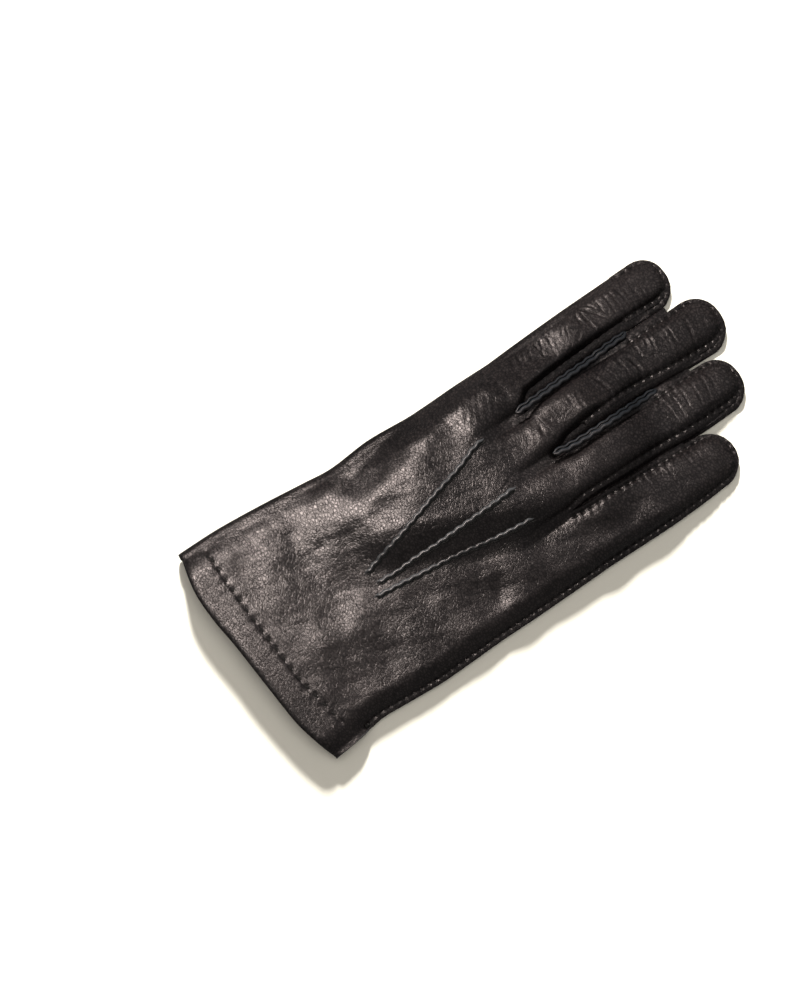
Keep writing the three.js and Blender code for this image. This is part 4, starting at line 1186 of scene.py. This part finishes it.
BINDING_STEP, BINDING_WAVE = 0.8, 2.6
cuff_y = CUFF_SLANT * float(lookup(CUFF_LINE, 0.5 + VENT_PLACE, "climb"))
binding_line = smooth_route(vent_outline(BINDING_WALL / 2, cuff_y), BINDING_STEP)
reach = np.arange(len(binding_line)) * BINDING_STEP
binding_route = np.column_stack([binding_line, np.full(len(binding_line), BINDING_WALL / 2)])
radii = BINDING_WALL / 2 * (0.97 + 0.03 * np.cos(2 * np.pi * reach / BINDING_WAVE))
ends = np.minimum(np.arange(len(radii)), np.arange(len(radii))[::-1])
radii = radii * np.sqrt(np.clip((ends + 0.02) / 2.0, 0, 1))
binding = merged([grid_sheet("binding", rolled_bar(binding_route, radii, 14))], "vent_binding_leather")
finished(binding, nappa, ["vent_binding"])

# %% [markdown]
# The lining is a thin knitted sleeve. It is seen only inside the cuff and through
# the vent, and it starts behind the turned hem.
# %% The lining
LINING_DEPTH, LINING_WALL, LINING_LOW, LINING_MIDDLE = 37.0, 0.9, 3.4, 6.0


def lining_ring(along, inset):
    across = np.concatenate([np.linspace(0, 0.15, 8), np.linspace(0.17, 0.92, 40)])
    left, right, y = hand_plan(across, along)
    radius = float(fold_radius(0.0))
    x = mix(left + radius, right, across)
    index = np.clip(np.searchsorted(CROTCH_LINE["along"], across, side="right") - 1, 0, 3)
    start, end = CROTCH_LINE["along"][index], CROTCH_LINE["along"][index + 1]
    within = (across - start) / (end - start)
    height = np.array([float(hand_top(i, w, a, np.array(along))) for i, w, a in zip(index, within, across)])
    above = np.stack([x, y, lift(x, y) + height - inset], 1)
    curl = np.where(index == 3, seam_curl(within), 0)
    below = np.stack([x, y, lift(x, y) + inset + curl], 1)
    left_x, left_y = float(left) + inset, y[0]
    middle = np.array([[left_x, left_y, float(lift(np.array([left_x]), np.array([left_y]))[0]) + radius]])
    ring = np.concatenate([above[::-1], middle, below])
    return np.concatenate([ring, ring[:1]])


def cut_lining_under_vent(sheet, outline):
    """The slit goes through the lining's lower side only."""
    only(sheet)
    places = points_of(sheet.data) / MM
    for face in sheet.data.polygons:
        centre = places[list(face.vertices)].mean(0)
        at = centre[:2] - SHIFT
        face.select = bool(centre[2] < LINING_LOW and inside_of_outline([at[0]], [at[1]], outline)[0])
    bpy.ops.object.mode_set(mode="EDIT")
    bpy.ops.mesh.select_mode(type="FACE")
    bpy.ops.mesh.delete(type="FACE")
    bpy.ops.object.mode_set(mode="OBJECT")


start = HEM_SHARE + 1.2 / HAND_LENGTH
rings = np.array([lining_ring(start + LINING_DEPTH / HAND_LENGTH * share, LEATHER + 1.5 * CLEARANCE)
                  for share in np.linspace(0, 1, 34)])
lining = merged([grid_sheet("lining", rings)], "lining_knit")
add_wall(lining, LINING_WALL)
if np.mean([f.normal.z * (f.center.z / MM - LINING_MIDDLE) for f in lining.data.polygons]) < 0:
    flip(lining)
cut_lining_under_vent(lining, vent_cut)
apply_all(lining)
knit, knit_tree, knit_shader = nodes_of("brushed_knit")
knit_place = add_node(knit_tree, "ShaderNodeTexCoord").outputs["Object"]
ribs = add_node(knit_tree, "ShaderNodeTexWave", Vector=knit_place, Scale=220.0, Distortion=1.5)
fuzz = add_node(knit_tree, "ShaderNodeTexNoise", Vector=knit_place, Scale=1500.0, Detail=3.0)
knit_height = sum_of(knit_tree, "ADD", ribs.outputs["Fac"], fuzz.outputs["Fac"])
set_sockets(knit_tree, knit_shader, {
    "Base Color": (0.05, 0.045, 0.043, 1.0), "Roughness": 0.92, "Sheen Weight": 0.5,
    "Normal": bump_normal(knit_tree, knit_height, 0.6, 0.0002)})
finished(lining, knit, ["lining"])

# %% [markdown]
# Three pin tucks run from the middle of the back to the crotches. On the real glove
# a fold of the leather is pinched up and sewn through, so each is a thin wavy ridge.
# The ridges are painted lighter than the leather round them, as painted highlight, and
# a dark strand laid beside each one is painted shadow.
# %% The pin tucks
TUCKS = [
    [(0.3, -65.3), (-2.0, -56.0), (-4.1, -45.0), (-7.2, -32.4), (-9.8, -22.4), (-13.5, -5.9), (-16.4, 2.6),
     (-17.5, 9.1)],
    [(5.9, -63.7), (6.8, -53.8), (6.7, -43.9), (7.4, -32.4), (7.5, -17.9), (7.4, 0.8), (7.1, 8.3)],
    [(10.3, -67.7), (12.0, -55.0), (13.4, -45.7), (15.1, -32.4), (17.0, -22.3), (19.8, -9.8), (21.2, -0.3),
     (22.1, 7.2)]]


def height_above(surface, x, y, upwards=False):
    """Height in millimetres of a surface above or below a place on the plan."""
    at = (np.array([x, y]) + SHIFT) * MM
    origin = Vector((at[0], at[1], -0.01 if upwards else 0.06))
    hit = surface.ray_cast(origin, Vector((0, 0, 1 if upwards else -1)))
    return None if hit[0] is None else hit[0].z / MM


ROUTE_STEP, TUCK_WAVE, TUCK_RISE, TUCK_HALF, TUCK_SIDES = 0.4, 4.5, 1.4, 0.95, 17

for number, places in enumerate(TUCKS, start=1):
    line = smoothed(smooth_route(np.array(places) + TO_PLAN, ROUTE_STEP), 12)
    reach = np.arange(len(line)) * ROUTE_STEP
    run = np.gradient(line, axis=0)
    run /= np.linalg.norm(run, axis=1)[:, None]
    out = np.stack([-run[:, 1], run[:, 0]], 1)
    line = line + out * (0.24 * np.sin(2 * np.pi * reach / TUCK_WAVE))[:, None]
    heights = smoothed(np.array([height_above(back_surface, *place) for place in line]), 6)
    fade = np.maximum(soften(np.minimum(reach, reach[-1] - reach) / 3.0), 0.01)
    turn = np.linspace(0, 2 * np.pi, TUCK_SIDES)
    pinch = 0.05 * np.cos(4 * np.pi * reach / TUCK_WAVE)
    rise = (TUCK_RISE + pinch) * fade
    half = TUCK_HALF * (1 + pinch) * np.sqrt(fade)
    rings = np.zeros((len(line), TUCK_SIDES, 3))
    rings[:, :, :2] = line[:, None, :] + out[:, None, :] * (half[:, None] * np.cos(turn))[:, :, None]
    rings[:, :, 2] = heights[:, None] + np.where(np.sin(turn) > 0, 1.0, 0.45) * np.sin(turn) * rise[:, None]
    tuck = merged([grid_sheet("tuck", rings)], f"pin_tuck_{number}")
    # Painted highlight: the ridge takes the lighter leather
    finished(tuck, tuck_highlight_and_bare_edge_leather)
    # Painted shadow: a dark strand of the thread material, sunk along one side of the ridge, stands for the
    # shade the ridge casts beside it
    beside = np.column_stack([line - out * 1.15, heights - 0.1])
    bar = rolled_bar(beside, 0.5 * np.sqrt(fade), 10, 0.5)
    tuck_shadow_strand = merged([grid_sheet("line", bar)], f"painted_tuck_shadow_{number}")
    finished(tuck_shadow_strand, thread)

# %% [markdown]
# In the first two gaps the raw edge of the fourchette stands up beside the next
# finger. The thread pulls it into waves, so it looks like a thin cord of leather.
# %% The wavy raw edges in the gaps
GAP_EDGES = {
    "index_middle": [
        (-18.9, 26.6), (-19.0, 33.0), (-19.2, 42.0), (-19.4, 50.0), (-19.8, 65.0), (-20.4, 78.0),
        (-20.6, 88.0)],
    "middle_ring": [
        (4.4, 29.4), (5.8, 36.0), (6.5, 43.0), (6.8, 50.0), (7.0, 64.0), (7.0, 76.0), (6.9, 84.0)]}
EDGE_WAVE = 5.2

for name, places in GAP_EDGES.items():
    line = smoothed(smooth_route(np.array(places) + TO_PLAN, ROUTE_STEP), 20)
    reach = np.arange(len(line)) * ROUTE_STEP
    height = np.interp(reach, [0, 6, reach[-1] - 14, reach[-1]], [9.2, 8.9, 7.6, 4.6])
    height = height + lift(line[:, 0], line[:, 1])
    fade = np.clip(np.minimum(reach, reach[-1] - reach) / 2.0, 0, 1)
    strands = []
    for offset, size, phase in ((1.0, 1.0, 0.0), (-0.75, 0.6, 0.3)):
        strand = line.copy()
        strand[:, 0] += offset * fade + 0.26 * np.sin(2 * np.pi * reach / EDGE_WAVE + phase)
        route = np.column_stack([strand, height - 0.4 * (offset < 0)])
        radii = size * (1 + 0.05 * np.cos(2 * np.pi * reach / EDGE_WAVE + phase)) * np.sqrt(fade + 0.0005)
        strands.append(grid_sheet("edge", rolled_bar(route, radii, 12, 1.3)))
    edge = merged(strands, "raw_edge_" + name)
    finished(edge, edge_leather)

# %% [markdown]
# Waxed black thread: every stitch is a short bar that sinks into the leather at both
# ends. One is modelled, and each row is made of copies laid along its seam.
# %% Thread and stitches
HEM_THREAD, VENT_THREAD, VENT_PITCH = 0.42, 0.22, 2.2
STITCH_COVER, STEEPEST = 0.6, 1.2
bpy.ops.mesh.primitive_uv_sphere_add(segments=8, ring_count=6, radius=1.0)
model = bpy.context.object
model.rotation_euler = (0, math.pi / 2, 0)
bpy.ops.object.transform_apply(location=False, rotation=True, scale=False)
stitch_points = points_of(model.data)
stitch_faces = [tuple(face.vertices) for face in model.data.polygons]
stitch_points[:, 2] -= 0.35 * stitch_points[:, 0] ** 2
bpy.data.objects.remove(model)


def inside_of(line, inset):
    """The line moved to its right by an inset, which on a finger's outline is inwards."""
    run = np.gradient(line, axis=0)
    run /= np.maximum(np.linalg.norm(run, axis=1)[:, None], 1e-9)
    return line + np.stack([run[:, 1], -run[:, 0]], 1) * inset


def place_at(line, reach, at):
    return np.array([np.interp(at, reach, line[:, 0]), np.interp(at, reach, line[:, 1])])


def both_ends(ends, heights):
    return [np.array([*end, height]) for end, height in zip(ends, heights)]


def stitch_row(edge, inset, pitch, surface, radius=0.3, upwards=False):
    """A row's stitches: each is its two ends on the surface, its middle's height and its radius."""
    reach = reach_along(edge)
    inner = inside_of(edge, inset)
    found = []
    for at in np.arange(0.5 * pitch, reach[-1] - 0.3 * pitch, pitch):
        ends = [place_at(inner, reach, at + pitch * STITCH_COVER * share) for share in (-0.5, 0.5)]
        heights = [height_above(surface, *end, upwards) for end in ends]
        hidden = not upwards and shows(*ends[0], ROLLED_UNDER + TURNED_DOWN) < 0.5
        middle = height_above(surface, *((ends[0] + ends[1]) / 2), upwards)
        if hidden or None in heights or middle is None or abs(heights[0] - heights[1]) > STEEPEST:
            continue
        found.append((*both_ends(ends, heights), middle, radius, upwards))
    return found


def lay_stitches(name, rows):
    """One piece from many copies of the stitch, each turned along its ends and pressed into the leather."""
    verts, faces = [], []
    for start, end, middle, radius, upwards in rows:
        run = end - start
        length = np.linalg.norm(run)
        ahead = run / length
        side = np.cross((0, 0, 1.0), ahead)
        side /= np.linalg.norm(side)
        up = np.cross(ahead, side)
        centre = (start + end) / 2
        centre[2] = middle
        if upwards:
            up = -up
            centre = centre - up * radius * 0.2
            centre[2] = max(centre[2], radius * 1.05)
        else:
            centre = centre + up * radius * 0.35
        base = len(verts) * len(stitch_points)
        local = stitch_points * (length / 2, radius, radius)
        placed = centre + local[:, :1] * ahead + local[:, 1:2] * side + local[:, 2:] * up
        placed[:, :2] += SHIFT
        verts.append(placed * MM)
        faces += [tuple(base + i for i in (face if not upwards else face[::-1])) for face in stitch_faces]
    mesh = bpy.data.meshes.new(name)
    mesh.from_pydata(np.concatenate(verts).tolist(), [], faces)
    thing = bpy.data.objects.new(name, mesh)
    bpy.context.scene.collection.objects.link(thing)
    return finished(thing, thread)


seam_stitches = []
for line, pitch in zip(SEAMS, PITCHES):
    seam_stitches += stitch_row(line, STITCH_INSET, pitch, back_surface)
lay_stitches("stitches_of_the_fingers", seam_stitches)
whole_hem = smooth_route(HEM_LINE, 0.5)
hem_stitches = stitch_row(whole_hem, 0.0, HEM_PITCH, back_surface, radius=HEM_THREAD)
lay_stitches("stitches_of_the_hem", hem_stitches)

# %% [markdown]
# The same thread shows on the underside: along the fingers, round the thumb and
# through the turned hem, with a finer row outside the binding of the vent.
# %% Stitches of the underside
under_stitches = []
for line, pitch in zip(PALM_SEAMS, PITCHES):
    under_stitches += stitch_row(line, STITCH_INSET, pitch, palm_surface, upwards=True)
lay_stitches("stitches_under_the_fingers", under_stitches)
thumb_stitches = []
base_line = thumb_places[0, :low_side, :2]
for line, inset in ((edge_line, STITCH_INSET), (tip_line, STITCH_INSET), (base_line, -1.8)):
    thumb_stitches += stitch_row(smooth_route(line, 0.8), inset, STITCH_PITCH, thumb_surface, upwards=True)
lay_stitches("stitches_of_the_thumb", thumb_stitches)
hem_under = []
for side in (whole_hem[whole_hem[:, 0] < -11.0], whole_hem[whole_hem[:, 0] > 3.0]):
    hem_under += stitch_row(side, 0.0, HEM_PITCH, palm_surface, radius=HEM_THREAD, upwards=True)
lay_stitches("stitches_under_the_hem", hem_under)
vent_row = smooth_route(vent_outline(BINDING_WALL + 0.9, cuff_y + 0.5), 0.5)
vent_stitches = stitch_row(vent_row, 0.0, VENT_PITCH, palm_surface, radius=VENT_THREAD, upwards=True)
lay_stitches("stitches_of_the_vent", vent_stitches)

# %% [markdown]
# The outer seam ends two centimetres above the cuff in a small knot. Below it the
# hem's cut edge is bare, and shows paler than the dyed face of the leather.
# %% Knot and bare edge at the end of the outer seam
knot_x, knot_y = SEAMS[3][-1]
turns = []
for down in (0.0, 0.8, 1.5):
    ends = [(knot_x - 2.4, knot_y - down), (knot_x - 0.4, knot_y - down - 0.5)]
    heights = [height_above(back_surface, *end) for end in ends]
    if None not in heights:
        turns.append((*both_ends(ends, heights), float(np.mean(heights)) + 0.2, HEM_THREAD, False))
lay_stitches("knot_of_the_outer_seam", turns)
bare = back_hand["y"][:, -1] < knot_y - 1.5
edge_route = np.column_stack([
    back_hand["x"][bare, -1] - 0.1, back_hand["y"][bare, -1], hand_height[bare, -1] - 0.35])
bare_bar = rolled_bar(smooth_route(edge_route, 0.6), 0.36, 8)
bare_edge = merged([grid_sheet("edge", bare_bar)], "bare_edge_of_the_hem")
finished(bare_edge, tuck_highlight_and_bare_edge_leather)

# %% [markdown]
# The floor is a plain pale sheet. A low lamp at the top of the picture throws the
# narrow shadow, and a wide one fills it. Black leather shows little of either: what
# is seen on it is gloss, so three lamps that only shine on gloss stand at the sides,
# as white cards do in a studio.
# %% Floor and lights
FLOOR_SIZE, FLOOR_LEVEL = 6.0, -0.2 * MM
bpy.ops.mesh.primitive_plane_add(size=FLOOR_SIZE, location=(0, 0, FLOOR_LEVEL))
floor = bpy.context.object
floor.name = "floor"
floor_material, floor_tree, floor_shader = nodes_of("pale_floor")
set_sockets(floor_tree, floor_shader, {"Base Color": (0.8, 0.757, 0.645, 1.0), "Roughness": 0.9})
floor.data.materials.append(floor_material)
floor.visible_glossy = False


def lamp(name, direction, distance, size, power):
    """A square lamp in that direction of the picture (right, up, towards the camera)."""
    towards = (right_of_camera * direction[0] + up_of_camera * direction[1]
               + back_of_camera * direction[2]).normalized()
    data = bpy.data.lights.new(name, "AREA")
    data.shape = "SQUARE"
    data.size = size
    data.energy = power
    thing = bpy.data.objects.new(name, data)
    bpy.context.scene.collection.objects.link(thing)
    thing.matrix_world = (Matrix.Translation(towards * distance)
                          @ towards.to_track_quat("Z", "Y").to_matrix().to_4x4())
    return thing


lamp("key", (-0.12, 1.0, 0.38), 1.3, 0.14, 64.0).visible_glossy = False
lamp("fill", (0.1, 0.2, 1.0), 1.5, 1.2, 9.0).visible_glossy = False
GLOSS_LAMPS = [
    ("sheen", (-0.62, 0.3, 1.0), 0.5, 0.22, 4.2, (1.0, 0.92, 0.85)),
    ("haze", (-0.75, 0.4, 0.9), 0.8, 0.8, 1.7, (1.0, 0.94, 0.9)),
    ("glint", (0.55, 0.45, 1.0), 1.0, 0.7, 0.45, (1.0, 1.0, 1.0))]
for *measures, tint in GLOSS_LAMPS:
    card = lamp(*measures)
    card.visible_diffuse = False
    card.data.color = tint
world = bpy.data.worlds.new("studio")
world.use_nodes = True
set_sockets(world.node_tree, world.node_tree.nodes["Background"], {
    "Color": (1.0, 0.97, 0.95, 1.0), "Strength": 0.19})
bpy.context.scene.world = world
bpy.context.scene.view_settings.view_transform = "Standard"
print("lit by", 2 + len(GLOSS_LAMPS), "lamps")
